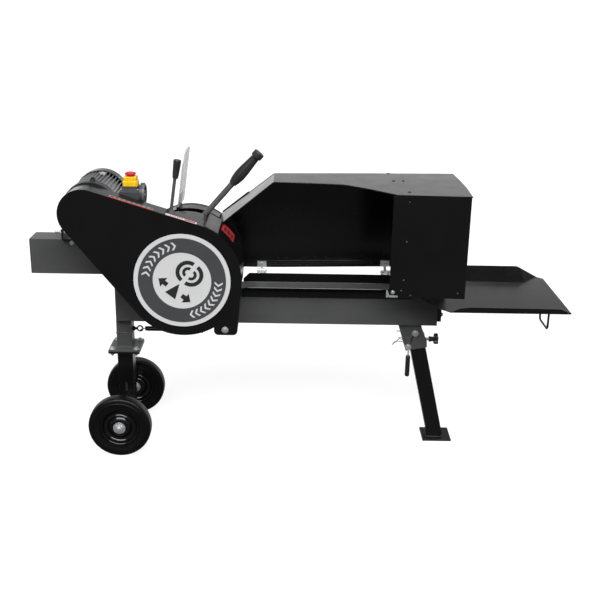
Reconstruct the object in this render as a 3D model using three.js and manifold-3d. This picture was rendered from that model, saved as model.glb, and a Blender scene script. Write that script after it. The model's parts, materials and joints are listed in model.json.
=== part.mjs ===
// Kinetic (flywheel) log splitter: a horizontal beam on two wheels and a folding leg.
// An electric motor turns two flywheels by belt; a lever drops a rack onto their pinion,
// and the rack drives a pusher plate along the beam to a fixed wedge under a hinged hood.
// Millimetres, +Z up, +X from the motor end to the outfeed table, -Y the operator's side.
// Sizes are laid out from the wheel axle (X = 0), the beam's middle (Y = 0) and the ground
// (Z = 0); the last lines move the origin to the middle of the base.
import * as THREE from 'three';
import { mergeVertices } from 'three/addons/utils/BufferGeometryUtils.js';
import { ConvexGeometry } from 'three/addons/geometries/ConvexGeometry.js';
import Module from 'manifold-3d';

const wasm = await Module();
wasm.setup();

// ---- driving dimensions ------------------------------------------------------------------
const GAP = 0.3;                       // clearance between touching pieces
const RUN = 0.5;                       // clearance round turning pieces

const BEAM_HALF = 42.4;                // half width of beam and rack housing
const BEAM = { x0: -21, x1: 1012.6, z0: 412, z1: 525, wall: 4 };
const RISER_END = 330;                 // the block that carries the rack housing on the beam
const HOUSING = { x0: -281, x1: 330, z0: 569, z1: 681, wall: 4 };

const FLY = { x: 213, z: 602 };        // flywheel shaft
const MOTOR = { x: -71, z: 794 };      // motor shaft
const SHAFT_R = 15;
const MOTOR_SHAFT_R = 12;
const PINION = { module: 4, teeth: 12, half: 19 };
const RACK_LIFT = 10;                  // the rack rests this far above full mesh
const FLYWHEEL_R = 150;

const COVER = { bigR: 178, smallR: 76, tipX: -76, tipZ: 797, y0: -192, y1: -120, wall: 2.5 };
const GUARD_R = 178;                   // round guard of the near flywheel
const FAR_GUARD_R = 165;
const BELT_Y = -155;                   // middle plane of the drive belt
const BELT_WIDTH = 20;
const BIG_PULLEY_R = 126;
const SMALL_PULLEY_R = 36;
const BELT_THICK = 6;

const MOTOR_R = 84.5;
const MOTOR_FOOT = 709;                // underside of the motor's feet
const MOTOR_Y = { front: -112, body0: -78, body1: 70, back: 118 };

const WHEEL = { r: 100, y: 161, width: 45, rimR: 62, axleR: 10 };
const POST_HALF = 25;                  // half width of the square leg tubes
const FLANGE = { x0: -49, x1: 52, half: 55, z: 309.2, thick: 6 };

const HOOD = { top: 870, sheet: 3, bottom: 553.5, right: 1067 };
const WALL = [[312, 114], [483, 114], [770, 136], [1067, 153]];   // inner face of the back wall
const WALL_SHEET = 2.5;
const SLOPE = { x0: 312, z0: 738.5, x1: 481, near: -20, nearLow: -62 };   // the hood's left end
const HINGE = { y: 106, z: 545, r: 6 };                           // hood hinge line, along X
const HINGE_SPANS = [[427, 457], [838, 868]];
const TABLE = { z: 523, sheet: 3 };
const CRADLE = { x0: 384, x1: 929, flange: 502, edgeY: 77, edgeZ: 545, sheet: 3 };

const SHIELD = {
  x: 185.5, z: 778, y0: 6, y1: 124, tall: 176, thick: 4, lean: 7.5, toe: 2, near: 52, far: 14,
};

const LEG = { x: 946, z: 380, tilt: 13.3, above: 17, length: 390.5 };
const FOOT = { x0: 990, x1: 1086, half: 46, thick: 6 };
const LOCK_PIN = { x: 925, z: 333, r: 5 };
const SPRING = { z: 372, x0: 70, x1: 250, r: 8.5 };

const ENGAGE = { x: 216, z: 703, y: -20 };     // pivots of the two levers
const SAFETY = { x: 153, z: 708, y: -20 };

const DEG = Math.PI / 180;
const V2 = (x, y) => new THREE.Vector2(x, y);
const V3 = (x, y, z) => new THREE.Vector3(x, y, z);

// ---- finishes ----------------------------------------------------------------------------
const finish = (color, roughness, metalness) => ({ color, roughness, metalness });
const FRAME_GREY = finish(0x45464a, 0.5, 0.1);
const BLACK_COAT = finish(0x141415, 0.42, 0.05);
const ZINC = finish(0xb9bcc0, 0.32, 0.9);
const STEEL = finish(0x8b8d90, 0.35, 0.9);
const CAST = finish(0x3c3d40, 0.6, 0.6);
const RUBBER = finish(0x101011, 0.85, 0);
const BLACK_PLASTIC = finish(0x1a1a1b, 0.5, 0);
const LEVER_STEEL = finish(0x55565a, 0.3, 0.5);
const GRIP = finish(0x2c2d30, 0.7, 0);
const YELLOW = finish(0xfdc814, 0.45, 0);
const RED = finish(0xc81e2d, 0.4, 0);
const CLEAR = finish(0xdfe6ea, 0.1, 0);

// ---- solids ------------------------------------------------------------------------------
// A closed geometry becomes a solid: equal vertices merged, slivers dropped, faces turned out.
function solid(geometry) {
  const bare = geometry.clone();
  bare.deleteAttribute('normal');
  bare.deleteAttribute('uv');
  const merged = mergeVertices(bare, 1e-4);
  const p = merged.attributes.position.array;
  const all = merged.index.array;
  const tris = [];
  let volume = 0;
  for (let i = 0; i < all.length; i += 3) {
    const [a, b, c] = [all[i], all[i + 1], all[i + 2]];
    if (a === b || b === c || c === a) continue;
    tris.push(a, b, c);
    const [u, v, w] = [a, b, c].map((k) => V3(p[3 * k], p[3 * k + 1], p[3 * k + 2]));
    volume += u.dot(v.cross(w));
  }
  if (volume < 0) tris.reverse();
  return new wasm.Manifold(new wasm.Mesh({
    numProp: 3, vertProperties: p, triVerts: new Uint32Array(tris),
  }));
}

function surface(manifold) {
  const mesh = manifold.getMesh();
  const geometry = new THREE.BufferGeometry();
  geometry.setAttribute('position', new THREE.BufferAttribute(mesh.vertProperties, 3));
  geometry.setIndex(new THREE.BufferAttribute(mesh.triVerts, 1));
  geometry.computeVertexNormals();
  return geometry;
}

const join = (...pieces) => pieces.reduce((a, b) => a.add(b));
const cut = (body, ...tools) => tools.reduce((a, b) => a.subtract(b), body);

function box(x0, x1, y0, y1, z0, z1) {
  const geometry = new THREE.BoxGeometry(x1 - x0, y1 - y0, z1 - z0);
  return solid(geometry.translate((x0 + x1) / 2, (y0 + y1) / 2, (z0 + z1) / 2));
}

// A round bar along 'x', 'y' or 'z', through the given point of the two other axes.
function bar(axis, [u, v], r, from, to, { r2 = r, sides = 24 } = {}) {
  const geometry = new THREE.CylinderGeometry(r2, r, to - from, sides);
  const middle = (from + to) / 2;
  if (axis === 'x') geometry.rotateZ(-90 * DEG).translate(middle, u, v);
  if (axis === 'y') geometry.translate(u, middle, v);
  if (axis === 'z') geometry.rotateX(90 * DEG).translate(u, v, middle);
  return solid(geometry);
}

const AXES = {
  x: [V3(0, 1, 0), V3(0, 0, 1), V3(1, 0, 0)],    // outline in Y, Z
  y: [V3(1, 0, 0), V3(0, 0, 1), V3(0, -1, 0)],   // outline in X, Z
  z: [V3(1, 0, 0), V3(0, 1, 0), V3(0, 0, 1)],    // outline in X, Y
};

// An outline, given as a Shape or a list of points, run along one axis.
function run(axis, outline, from, to, curveSegments = 12) {
  const shape = outline instanceof THREE.Shape
    ? outline : new THREE.Shape(outline.map(([x, y]) => V2(x, y)));
  const geometry = new THREE.ExtrudeGeometry(shape, {
    depth: to - from, bevelEnabled: false, curveSegments, steps: 1,
  });
  geometry.applyMatrix4(new THREE.Matrix4().makeBasis(...AXES[axis]));
  const start = axis === 'y' ? to : from;
  const shift = { x: [start, 0, 0], y: [0, start, 0], z: [0, 0, start] }[axis];
  return solid(geometry.translate(...shift));
}

// A profile of [radius, along] points turned about a line along Y through (x, z).
function turnedY(profile, x, z, y = 0, segments = 36) {
  const geometry = new THREE.LatheGeometry(profile.map(([r, a]) => V2(r, a)), segments);
  return solid(geometry.translate(x, y, z));
}

// A round rod bent along a list of points, its corners rounded by the given radius.
function rod(points, r, bend = 12) {
  const path = new THREE.CurvePath();
  let from = points[0];
  for (let i = 1; i < points.length - 1; i += 1) {
    const corner = points[i];
    const toCorner = corner.clone().sub(points[i - 1]).normalize();
    const onward = points[i + 1].clone().sub(corner).normalize();
    const a = corner.clone().addScaledVector(toCorner, -bend);
    const b = corner.clone().addScaledVector(onward, bend);
    path.add(new THREE.LineCurve3(from, a));
    path.add(new THREE.QuadraticBezierCurve3(a, corner, b));
    from = b;
  }
  path.add(new THREE.LineCurve3(from, points[points.length - 1]));
  const ring = new THREE.Shape();
  ring.absarc(0, 0, r, 0, 2 * Math.PI);
  return solid(new THREE.ExtrudeGeometry(ring, {
    extrudePath: path, steps: 6 * points.length, curveSegments: 4, bevelEnabled: false,
  }));
}

// A flat sheet of three or four corners, its thickness below it.
function facet(corners, thick) {
  const points = corners.flatMap(([x, y, z]) => [V3(x, y, z), V3(x, y, z - thick)]);
  return solid(new ConvexGeometry(points));
}

function turn(piece, axis, degrees, [x, y, z]) {
  const geometry = surface(piece).translate(-x, -y, -z);
  geometry[`rotate${axis}`](degrees * DEG);
  return solid(geometry.translate(x, y, z));
}

const object = new THREE.Group();

function part(name, piece, { color, roughness, metalness }, group = object) {
  const material = new THREE.MeshStandardMaterial({ color, roughness, metalness });
  const mesh = new THREE.Mesh(surface(piece), material);
  mesh.name = name;
  group.add(mesh);
  return mesh;
}

// ---- beam, rack housing and end caps -----------------------------------------------------
function squareTube({ x0, x1, z0, z1, wall }) {
  const inner = BEAM_HALF - wall;
  return cut(
    box(x0, x1, -BEAM_HALF, BEAM_HALF, z0, z1),
    box(x0 - 1, x1 + 1, -inner, inner, z0 + wall, z1 - wall),
  );
}

function endCap(x, z0, z1, wall) {
  const plug = BEAM_HALF - wall - 1;
  return join(
    box(x - 3, x - GAP, -BEAM_HALF, BEAM_HALF, z0, z1),
    box(x - GAP - 1, x + 5, -plug, plug, z0 + wall + 1, z1 - wall - 1),
  );
}

const shaftHole = (r, y0, y1) => bar('y', [FLY.x, FLY.z], r, y0, y1);
const CAP = 3;

// The beam's motor end is closed by a plate; a riser carries the housing, a tab the spring.
part('lower_beam', join(
  squareTube(BEAM),
  box(BEAM.x0, BEAM.x0 + BEAM.wall, -BEAM_HALF, BEAM_HALF, BEAM.z0, BEAM.z1),
  box(BEAM.x0, RISER_END, -30, 30, BEAM.z1 - 1, HOUSING.z0 - GAP),
  box(SPRING.x1 + GAP, SPRING.x1 + 5, -16, 16, SPRING.z - 7, BEAM.z0 + 1),
), FRAME_GREY);
part('rack_housing', cut(
  squareTube({ ...HOUSING, x0: HOUSING.x0 + CAP }),
  shaftHole(SHAFT_R + 3, -BEAM_HALF - 1, BEAM_HALF + 1),
), FRAME_GREY);
part('housing_end_cap', endCap(HOUSING.x0 + CAP, HOUSING.z0, HOUSING.z1, HOUSING.wall), BLACK_PLASTIC);

// ---- log cradle: a flange on the beam's side and a wing that leans out --------------------
function cradle(side) {
  const { flange, edgeY, edgeZ, sheet, x0, x1 } = CRADLE;
  const inner = BEAM_HALF + GAP;
  const profile = [
    [inner, flange], [inner + sheet, flange], [inner + sheet, BEAM.z1 - 3],
    [edgeY + 1.6, edgeZ - 3], [edgeY, edgeZ], [inner, BEAM.z1],
  ].map(([y, z]) => [side * y, z]);
  const plan = [
    [x0, side * 40], [x1, side * 40], [x1, side * 80], [x0 + 21, side * 80], [x0, side * 56],
  ];
  return run('x', profile, x0, x1).intersect(run('z', plan, flange - 1, edgeZ + 1));
}
part('cradle_near', cradle(-1), BLACK_COAT);
part('cradle_far', cradle(1), BLACK_COAT);

// ---- wedge: a sharp vertical edge that opens into two flanks ------------------------------
const WEDGE = { x0: 880, x1: 1000, half: 11, top: 760, flare: 26 };
part('splitting_wedge', join(
  run('z', [
    [WEDGE.x0, 0], [WEDGE.x0 + 55, -WEDGE.half], [WEDGE.x1 - 30, -WEDGE.half],
    [WEDGE.x1, -WEDGE.flare], [WEDGE.x1, WEDGE.flare], [WEDGE.x1 - 30, WEDGE.half],
    [WEDGE.x0 + 55, WEDGE.half],
  ], BEAM.z1 + 7, WEDGE.top),
  box(WEDGE.x0 + 20, WEDGE.x1 + 8, -38, 38, BEAM.z1 + GAP, BEAM.z1 + 8),
), STEEL);

// ---- outfeed table: flat sheet, near lip, far wing and the plate on the beam's end --------
const WING_FOLD = 88;
function outfeedTable() {
  const { z, sheet } = TABLE;
  const slot = BEAM_HALF + GAP;
  const flat = run('z', [
    [930, -slot], [998, -193], [1022, -219.5], [1388, -219.5], [1388, 130], [1370, 151],
    [1314, WING_FOLD + 3], [960, WING_FOLD], [930, slot], [BEAM.x1 + GAP, slot], [BEAM.x1 + GAP, -slot],
  ], z - sheet, z);
  const lip = run('y', [
    [1028, z - sheet], [1388, z - sheet], [1386, z], [1354, z + 13], [1080, z + 14.5],
    [1050, z + 9.5], [1028, z],
  ], -219.5, -216.5);
  const wing = facet([
    [1076, WING_FOLD - 1, z], [1086, 150, z + 37], [1292, 150, z + 37], [1301, 149, z + 36.4],
    [1309, 145, z + 34], [1315, WING_FOLD - 1, z],
  ], sheet);
  const corner = facet([[1313, WING_FOLD - 1, z], [1370, 151, z], [1308, 145.5, z + 34]], sheet);
  const endPlate = box(BEAM.x1 + GAP, BEAM.x1 + 11.7, -45, 45, 427, z - 1);
  return join(flat, lip, wing, corner, endPlate);
}
part('outfeed_table', outfeedTable(), BLACK_COAT);

const HANDLE = { x: 1325, y0: -200, y1: -105, z: 464, r: 3.5 };
const handleTop = TABLE.z - TABLE.sheet - GAP;
part('table_handle', rod([
  V3(HANDLE.x, HANDLE.y0, handleTop), V3(HANDLE.x, HANDLE.y0, HANDLE.z),
  V3(HANDLE.x, HANDLE.y1, HANDLE.z), V3(HANDLE.x, HANDLE.y1, handleTop),
], HANDLE.r), BLACK_COAT);

// ---- belt cover: outline round two shafts, with the lug that bolts it to the beam ---------
// The inset shrinks the same outline for the inner wall and the plates behind it.
function coverOutline(inset) {
  const R = COVER.bigR - inset;
  const r = COVER.smallR - inset;
  const { tipX, tipZ } = COVER;
  const reach = Math.hypot(tipX - FLY.x, tipZ - FLY.z);
  const lean = Math.atan2(tipZ - FLY.z, tipX - FLY.x);
  const spread = Math.acos((R - r) / reach);
  const top = lean - spread;
  const low = lean + spread;
  const corner = 14 - inset;
  const lug = { left: 306 + inset, right: 378 - inset, low: 426 + inset };
  const lugTop = -Math.acos((lug.left - FLY.x) / R);
  const shape = new THREE.Shape();
  shape.moveTo(tipX + r * Math.cos(top), tipZ + r * Math.sin(top));
  shape.absarc(FLY.x, FLY.z, R, top, 0, true);
  shape.absarc(lug.right - corner, lug.low + corner, corner, 0, -90 * DEG, true);
  shape.absarc(lug.left + corner, lug.low + corner, corner, -90 * DEG, -180 * DEG, true);
  shape.absarc(FLY.x, FLY.z, R, lugTop, low - 2 * Math.PI, true);
  shape.absarc(tipX, tipZ, r, low, top, true);
  return shape;
}

part('belt_cover', cut(
  run('y', coverOutline(0), COVER.y0, COVER.y1),
  run('y', coverOutline(COVER.wall), COVER.y0 + COVER.wall, COVER.y1 + 1),
), BLACK_COAT);
part('cover_back_plate', cut(
  run('y', coverOutline(1), COVER.y1 + GAP, COVER.y1 + 2.5, 8),
  bar('y', [FLY.x, FLY.z], SHAFT_R + 5, COVER.y1 - 1, COVER.y1 + 4, { sides: 12 }),
  bar('y', [MOTOR.x, MOTOR.z], MOTOR_SHAFT_R + 5, COVER.y1 - 1, COVER.y1 + 4, { sides: 12 }),
), BLACK_COAT);

// ---- round guards of the two flywheels ---------------------------------------------------
function guard(radius, outer, inner, wall) {
  const [y0, y1] = [Math.min(outer, inner), Math.max(outer, inner)];
  const hollow = outer < inner ? [y0 + wall, y1 + 1] : [y0 - 1, y1 - wall];
  return cut(
    bar('y', [FLY.x, FLY.z], radius, y0, y1, { sides: 40 }),
    bar('y', [FLY.x, FLY.z], radius - wall, ...hollow, { sides: 40 }),
  );
}

function rimStrip(from, to, y0, y1) {
  const strip = new THREE.Shape();
  strip.absarc(FLY.x, FLY.z, GUARD_R, from * DEG, to * DEG, false);
  strip.absarc(FLY.x, FLY.z, GUARD_R - COVER.wall, to * DEG, from * DEG, true);
  return run('y', strip, y0, y1, 12);
}

// The shield and the plate it is bolted to lean to the right and toe in a little.
const asShield = (piece) => turn(
  turn(piece, 'Y', SHIELD.lean, [SHIELD.x, 0, SHIELD.z]), 'Z', -SHIELD.toe, [SHIELD.x, SHIELD.y1, 0],
);

const NEAR_GUARD = { outer: COVER.y1 + 2.8, inner: -46 };
part('near_flywheel_guard', join(
  cut(
    guard(GUARD_R - 0.5, NEAR_GUARD.outer, NEAR_GUARD.inner, COVER.wall),
    shaftHole(SHAFT_R + 5, NEAR_GUARD.outer - 1, NEAR_GUARD.outer + 4),
  ),
  rimStrip(31, 58, NEAR_GUARD.inner - 6, -26),
), BLACK_COAT);
// The far guard carries the angle that the clear hand shield is bolted to.
part('far_flywheel_guard', join(
  guard(FAR_GUARD_R, 112, 46, COVER.wall),
  box(SHIELD.x - 15, SHIELD.x - 3, 50, 108, 760, 769.5),
  asShield(box(SHIELD.x - 5.8, SHIELD.x - SHIELD.thick / 2 - GAP, 50, 108, 767, 806)),
), BLACK_COAT);

// ---- flywheel shaft with pinion, flywheels and big pulley --------------------------------
const alongShaft = (r, y0, y1, sides = 32) => bar('y', [FLY.x, FLY.z], r, y0, y1, { sides });

function bearing(side) {
  const [a, b, c] = [BEAM_HALF + GAP, BEAM_HALF + 5, BEAM_HALF + 15].map((y) => side * y);
  return cut(
    join(
      alongShaft(44, Math.min(a, b), Math.max(a, b), 24),
      alongShaft(32, Math.min(a, c), Math.max(a, c), 20),
    ),
    alongShaft(SHAFT_R + RUN, Math.min(a, c) - 1, Math.max(a, c) + 1, 20),
  );
}
part('near_bearing', bearing(-1), CAST);
part('far_bearing', bearing(1), CAST);

// Straight-flanked gear teeth; the outline is worked out tooth by tooth.
function pinion() {
  const { module: m, teeth, half } = PINION;
  const pitch = (m * teeth) / 2;
  const outline = [];
  for (let i = 0; i < teeth; i += 1) {
    for (const [turnBy, r] of [
      [-0.36, pitch - 1.2 * m], [-0.14, pitch + m], [0.14, pitch + m], [0.36, pitch - 1.2 * m],
    ]) {
      const a = ((i + turnBy) * 2 * Math.PI) / teeth;
      outline.push([FLY.x + r * Math.cos(a), FLY.z + r * Math.sin(a)]);
    }
  }
  return run('y', outline, -half, half);
}
part('pinion_shaft', join(alongShaft(SHAFT_R, -178, 100, 20), pinion()), STEEL);

function flywheel(y0, y1) {
  const recess = 12;
  const ring = (a, b) => cut(alongShaft(FLYWHEEL_R - 28, a, b), alongShaft(42, a - 1, b + 1, 20));
  return cut(
    alongShaft(FLYWHEEL_R, y0, y1), alongShaft(SHAFT_R + RUN, y0 - 1, y1 + 1, 20),
    ring(y1 - recess, y1 + 1),
  );
}
part('near_flywheel', flywheel(-110, -62), CAST);
part('far_flywheel', flywheel(61, 98), CAST);

function pulley(x, z, r, bore) {
  const half = BELT_WIDTH / 2 + 4;
  const [rim, hub] = [r + 4, bore + 14];
  return turnedY([
    [bore, -half], [rim, -half], [r, -BELT_WIDTH / 2 - 1], [r, BELT_WIDTH / 2 + 1], [rim, half],
    [hub, half], [bore, half], [bore, -half],
  ], x, z, BELT_Y, 28);
}
part('driven_pulley', pulley(FLY.x, FLY.z, BIG_PULLEY_R, SHAFT_R + GAP), CAST);

// ---- drive belt: two arcs and two straights -----------------------------------------------
function beltLoop(offset) {
  const [R, r] = [BIG_PULLEY_R + offset, SMALL_PULLEY_R + offset];
  const reach = Math.hypot(MOTOR.x - FLY.x, MOTOR.z - FLY.z);
  const lean = Math.atan2(MOTOR.z - FLY.z, MOTOR.x - FLY.x);
  const spread = Math.acos((R - r) / reach);
  const loop = new THREE.Shape();
  loop.absarc(FLY.x, FLY.z, R, lean - spread, lean + spread, true);
  loop.absarc(MOTOR.x, MOTOR.z, r, lean + spread, lean - spread, true);
  return loop;
}
part('drive_belt', cut(
  run('y', beltLoop(1 + BELT_THICK), BELT_Y - BELT_WIDTH / 2, BELT_Y + BELT_WIDTH / 2),
  run('y', beltLoop(1), BELT_Y - BELT_WIDTH, BELT_Y + BELT_WIDTH),
), RUBBER);

// ---- rack and pusher ----------------------------------------------------------------------
const RACK = { x0: -272, x1: 360 - GAP, half: 19, top: 671 };
function rack() {
  const { module: m } = PINION;
  const pitchLine = FLY.z + (m * PINION.teeth) / 2 + RACK_LIFT;
  const pitch = Math.PI * m;
  const outline = [[RACK.x1, RACK.top], [RACK.x0, RACK.top], [RACK.x0, pitchLine + 1.2 * m]];
  const count = Math.floor((HOUSING.x1 - 10 - RACK.x0) / pitch);
  for (let i = 0; i < count; i += 1) {
    const x = RACK.x0 + (i + 0.5) * pitch;
    for (const [along, up] of [[-0.36, 1.2], [-0.14, -1], [0.14, -1], [0.36, 1.2]]) {
      outline.push([x + along * pitch, pitchLine + up * m]);
    }
  }
  outline.push([RACK.x1, pitchLine + 1.2 * m]);
  return run('y', outline, -RACK.half, RACK.half);
}
part('rack', rack(), STEEL);
part('pusher_plate', join(
  box(360, 378, -41, 41, BEAM.z1 + 2, 680),
  run('y', [[322, BEAM.z1 + 2], [361, BEAM.z1 + 2], [361, 566], [338, 566], [334, 560]]
    .map(([x, z]) => [x + 12, z]), -36, 36),
), CAST);

// ---- levers: forks and gates on top of the rack housing ----------------------------------
const PLATE_TOP = HOUSING.z1 + GAP;
function leverBracket() {
  const base = box(110, 322, -38, 38, PLATE_TOP, PLATE_TOP + 4);
  const ear = (y) => run('y', [
    [118, PLATE_TOP], [312, PLATE_TOP], [312, 736], [262, 742], [206, 728], [118, 728],
  ], y, y + 4);
  return cut(
    join(base, ear(-38), ear(2)),
    bar('y', [ENGAGE.x, ENGAGE.z], 6, -60, 20), bar('y', [SAFETY.x, SAFETY.z], 6, -60, 20),
  );
}
part('lever_bracket', leverBracket(), FRAME_GREY);
// A strap that lies tangent on the cover's rim and reaches in to the lever gate.
const BRIDGE = { angle: 60.2, halfWidth: 21.5, y0: -190, y1: -31, thick: 3 };
const bridgeR = COVER.bigR + GAP + BRIDGE.thick / 2;
const bridgeX = FLY.x + bridgeR * Math.cos(BRIDGE.angle * DEG);
const bridgeZ = FLY.z + bridgeR * Math.sin(BRIDGE.angle * DEG);
part('lever_stop_bridge', turn(
  box(bridgeX - BRIDGE.halfWidth, bridgeX + BRIDGE.halfWidth, BRIDGE.y0, BRIDGE.y1,
    bridgeZ - BRIDGE.thick / 2, bridgeZ + BRIDGE.thick / 2),
  'Y', 90 - BRIDGE.angle, [bridgeX, 0, bridgeZ],
), FRAME_GREY);

function lever(name, pivot, tip, rodR, hubR) {
  const length = Math.hypot(tip[0] - pivot.x, tip[1] - pivot.z);
  const angle = Math.atan2(tip[0] - pivot.x, tip[1] - pivot.z) / DEG;
  const at = [pivot.x, pivot.y, pivot.z];
  const stem = bar('z', [pivot.x, pivot.y], rodR, pivot.z + 4, pivot.z + length, { sides: 20 });
  const hub = bar('y', [pivot.x, pivot.z], hubR, pivot.y - 12, pivot.y + 12, { sides: 24 });
  const pin = bar('y', [pivot.x, pivot.z], 5.5, -43, 11, { sides: 20 });
  part(name, join(turn(stem, 'Y', angle, at), hub, pin), LEVER_STEEL);
  return { angle, length, at };
}

// A hand grip turned from [radius, distance from its lower end], leaning with its lever.
function grip(name, pivot, leverPose, start, profile) {
  const upright = new THREE.LatheGeometry(profile.map(([r, a]) => V2(r, a)), 24);
  upright.rotateX(90 * DEG).translate(pivot.x, pivot.y, pivot.z + start);
  part(name, turn(solid(upright), 'Y', leverPose.angle, leverPose.at), GRIP);
}

// The engage lever has a long swelling grip, the safety lever a short tapered one.
const engagePose = lever('engage_lever', ENGAGE, [437, 958], 9, 15);
grip('engage_grip', ENGAGE, engagePose, engagePose.length - 126, [
  [9 + GAP, 0], [12.8, 0], [16.5, 30], [16, 52], [13, 84], [11.5, 104], [12.5, 116], [15.5, 124],
  [13.5, 129], [0, 129], [0, 127], [9 + GAP, 127], [9 + GAP, 0],
]);
const safetyPose = lever('safety_lever', SAFETY, [184.5, 931], 5.2, 11);
grip('safety_grip', SAFETY, safetyPose, safetyPose.length - 56, [
  [5.5, 0], [8.8, 0], [10, 20], [12, 50], [11.4, 57], [9, 59], [0, 59], [0, 57],
  [5.5, 57], [5.5, 0],
]);

// ---- clear hand shield ---------------------------------------------------------------------
function handShield() {
  const { x, z, y0, y1, tall, near, far, thick } = SHIELD;
  const shape = new THREE.Shape();
  shape.moveTo(y0, z);
  shape.lineTo(y1, z);
  shape.absarc(y1 - far, z + tall - far, far, 0, 90 * DEG, false);
  shape.absarc(y0 + near, z + tall - near, near, 90 * DEG, 180 * DEG, false);
  return asShield(run('x', shape, x - thick / 2, x + thick / 2, 8));
}
part('hand_shield', handShield(), CLEAR);

// ---- motor ---------------------------------------------------------------------------------
const alongMotor = (r, y0, y1, sides = 36) => bar('y', [MOTOR.x, MOTOR.z], r, y0, y1, { sides });

function ribbedBody() {
  const ribs = 30;
  const [root, tip] = [MOTOR_R - 10, MOTOR_R - 2];
  const outline = [];
  for (let i = 0; i < ribs; i += 1) {
    for (const [turnBy, r] of [[-0.3, root], [-0.18, tip], [0.18, tip], [0.3, root]]) {
      const a = ((i + turnBy) * 2 * Math.PI) / ribs;
      outline.push([MOTOR.x + r * Math.cos(a), MOTOR.z + r * Math.sin(a)]);
    }
  }
  const feet = box(MOTOR.x - 62, MOTOR.x + 62, -50, 50, MOTOR_FOOT, MOTOR_FOOT + 12);
  const web = box(MOTOR.x - 46, MOTOR.x + 46, -46, 46, MOTOR_FOOT + 10, MOTOR_FOOT + 28);
  const body = join(run('y', outline, MOTOR_Y.body0, MOTOR_Y.body1), feet, web);
  return cut(body, alongMotor(MOTOR_SHAFT_R + 8, MOTOR_Y.body0 - 1, MOTOR_Y.body1 + 1, 32));
}
part('motor_body', ribbedBody(), CAST);
part('motor_front_bell', cut(
  join(
    alongMotor(MOTOR_R, MOTOR_Y.front, MOTOR_Y.body0 - GAP),
    box(MOTOR.x, MOTOR.x + 17, MOTOR_Y.body0 - 13, MOTOR_Y.body0 - GAP, MOTOR.z + 78, MOTOR.z + 88),
  ),
  alongMotor(MOTOR_SHAFT_R + RUN, MOTOR_Y.front - 1, MOTOR_Y.body0 + 1, 32),
), CAST);
function fanCover() {
  const [y0, y1] = [MOTOR_Y.body1 + GAP, MOTOR_Y.back];
  const slots = [];
  for (let ring = 0; ring < 2; ring += 1) {
    const r = 34 + 20 * ring;
    for (let k = 0; k < 6; k += 1) {
      const a = (k + 0.5 * ring) * 60 * DEG;
      const at = [MOTOR.x + r * Math.cos(a), MOTOR.z + r * Math.sin(a)];
      slots.push(bar('y', at, 7, y1 - 5, y1 + 1, { sides: 6 }));
    }
  }
  return cut(
    turnedY([[0, y1], [MOTOR_R - 8, y1], [MOTOR_R, y1 - 8], [MOTOR_R, y0], [0, y0]], MOTOR.x, MOTOR.z),
    alongMotor(MOTOR_R - 2.5, y0 - 1, y1 - 8), alongMotor(MOTOR_R - 10, y1 - 9, y1 - 2.5),
    ...slots,
  );
}
part('motor_fan_cover', fanCover(), BLACK_COAT);
const webOfBase = (x) => box(x - 5, x + 5, -38, 38, PLATE_TOP, MOTOR_FOOT - 5);
part('motor_base', join(
  box(MOTOR.x - 60, MOTOR.x + 62, -64, 64, MOTOR_FOOT - 6, MOTOR_FOOT - GAP),
  webOfBase(MOTOR.x - 47), webOfBase(MOTOR.x + 49),
  box(MOTOR.x - 64, MOTOR.x + 66, -38, 38, PLATE_TOP, PLATE_TOP + 5),
), BLACK_COAT);
part('motor_shaft', join(
  alongMotor(MOTOR_SHAFT_R, -174, 104, 24),
  pulley(MOTOR.x, MOTOR.z, SMALL_PULLEY_R, MOTOR_SHAFT_R - 1),
), STEEL);

function coolingFan() {
  const blades = [];
  for (let k = 0; k < 6; k += 1) {
    const blade = box(MOTOR.x + 18, MOTOR.x + 66, 78, 98, MOTOR.z - 1.5, MOTOR.z + 1.5);
    blades.push(turn(blade, 'Y', 60 * k, [MOTOR.x, 0, MOTOR.z]));
  }
  return cut(
    join(alongMotor(24, 78, 100, 32), alongMotor(68, 78, 81), ...blades),
    alongMotor(MOTOR_SHAFT_R + GAP, 70, 110, 24),
  );
}
part('cooling_fan', coolingFan(), BLACK_PLASTIC);

// ---- switch, its lid and stop button, power inlet -------------------------------------------
const SWITCH = { x0: 22.5, x1: 80, y0: -116.5, y1: -58, z0: 818, z1: 857.5 };
const COLLAR_TOP = 865.5;
const LID = { x0: 30, x1: 73, y0: -104, y1: -64, z0: COLLAR_TOP + GAP, z1: 894 };
part('switch_bracket', join(
  box(SWITCH.x0, SWITCH.x1, SWITCH.y0, SWITCH.y0 + 3, 742, SWITCH.z0 - GAP),
  box(SWITCH.x0, SWITCH.x1, SWITCH.y0, SWITCH.y1, SWITCH.z0 - 3, SWITCH.z0 - GAP),
), BLACK_COAT);
part('switch_box', join(
  box(SWITCH.x0, SWITCH.x1, SWITCH.y0, SWITCH.y1, SWITCH.z0, SWITCH.z1),
  box(LID.x0 - 2, LID.x1 + 2, LID.y0 - 2, LID.y1 + 2, SWITCH.z1 - 1, COLLAR_TOP),
), BLACK_PLASTIC);
const LID_MIDDLE = [(LID.x0 + LID.x1) / 2, (LID.y0 + LID.y1) / 2];
part('switch_lid', cut(
  box(LID.x0, LID.x1, LID.y0, LID.y1, LID.z0, LID.z1),
  bar('z', LID_MIDDLE, 12, LID.z1 - 14, LID.z1 + 1, { sides: 24 }),
), YELLOW);
part('stop_button', join(
  bar('z', LID_MIDDLE, 11, LID.z1 - 7, LID.z1 + 5),
  bar('z', LID_MIDDLE, 17, LID.z1 + 4.5, LID.z1 + 8),
  bar('z', LID_MIDDLE, 17, LID.z1 + 7.9, LID.z1 + 12, { r2: 13 }),
), RED);
const INLET = { at: [-88, 841], r: 28.5, bore: 21, x0: SWITCH.x1 + GAP, x1: SWITCH.x1 + 14 };
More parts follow.
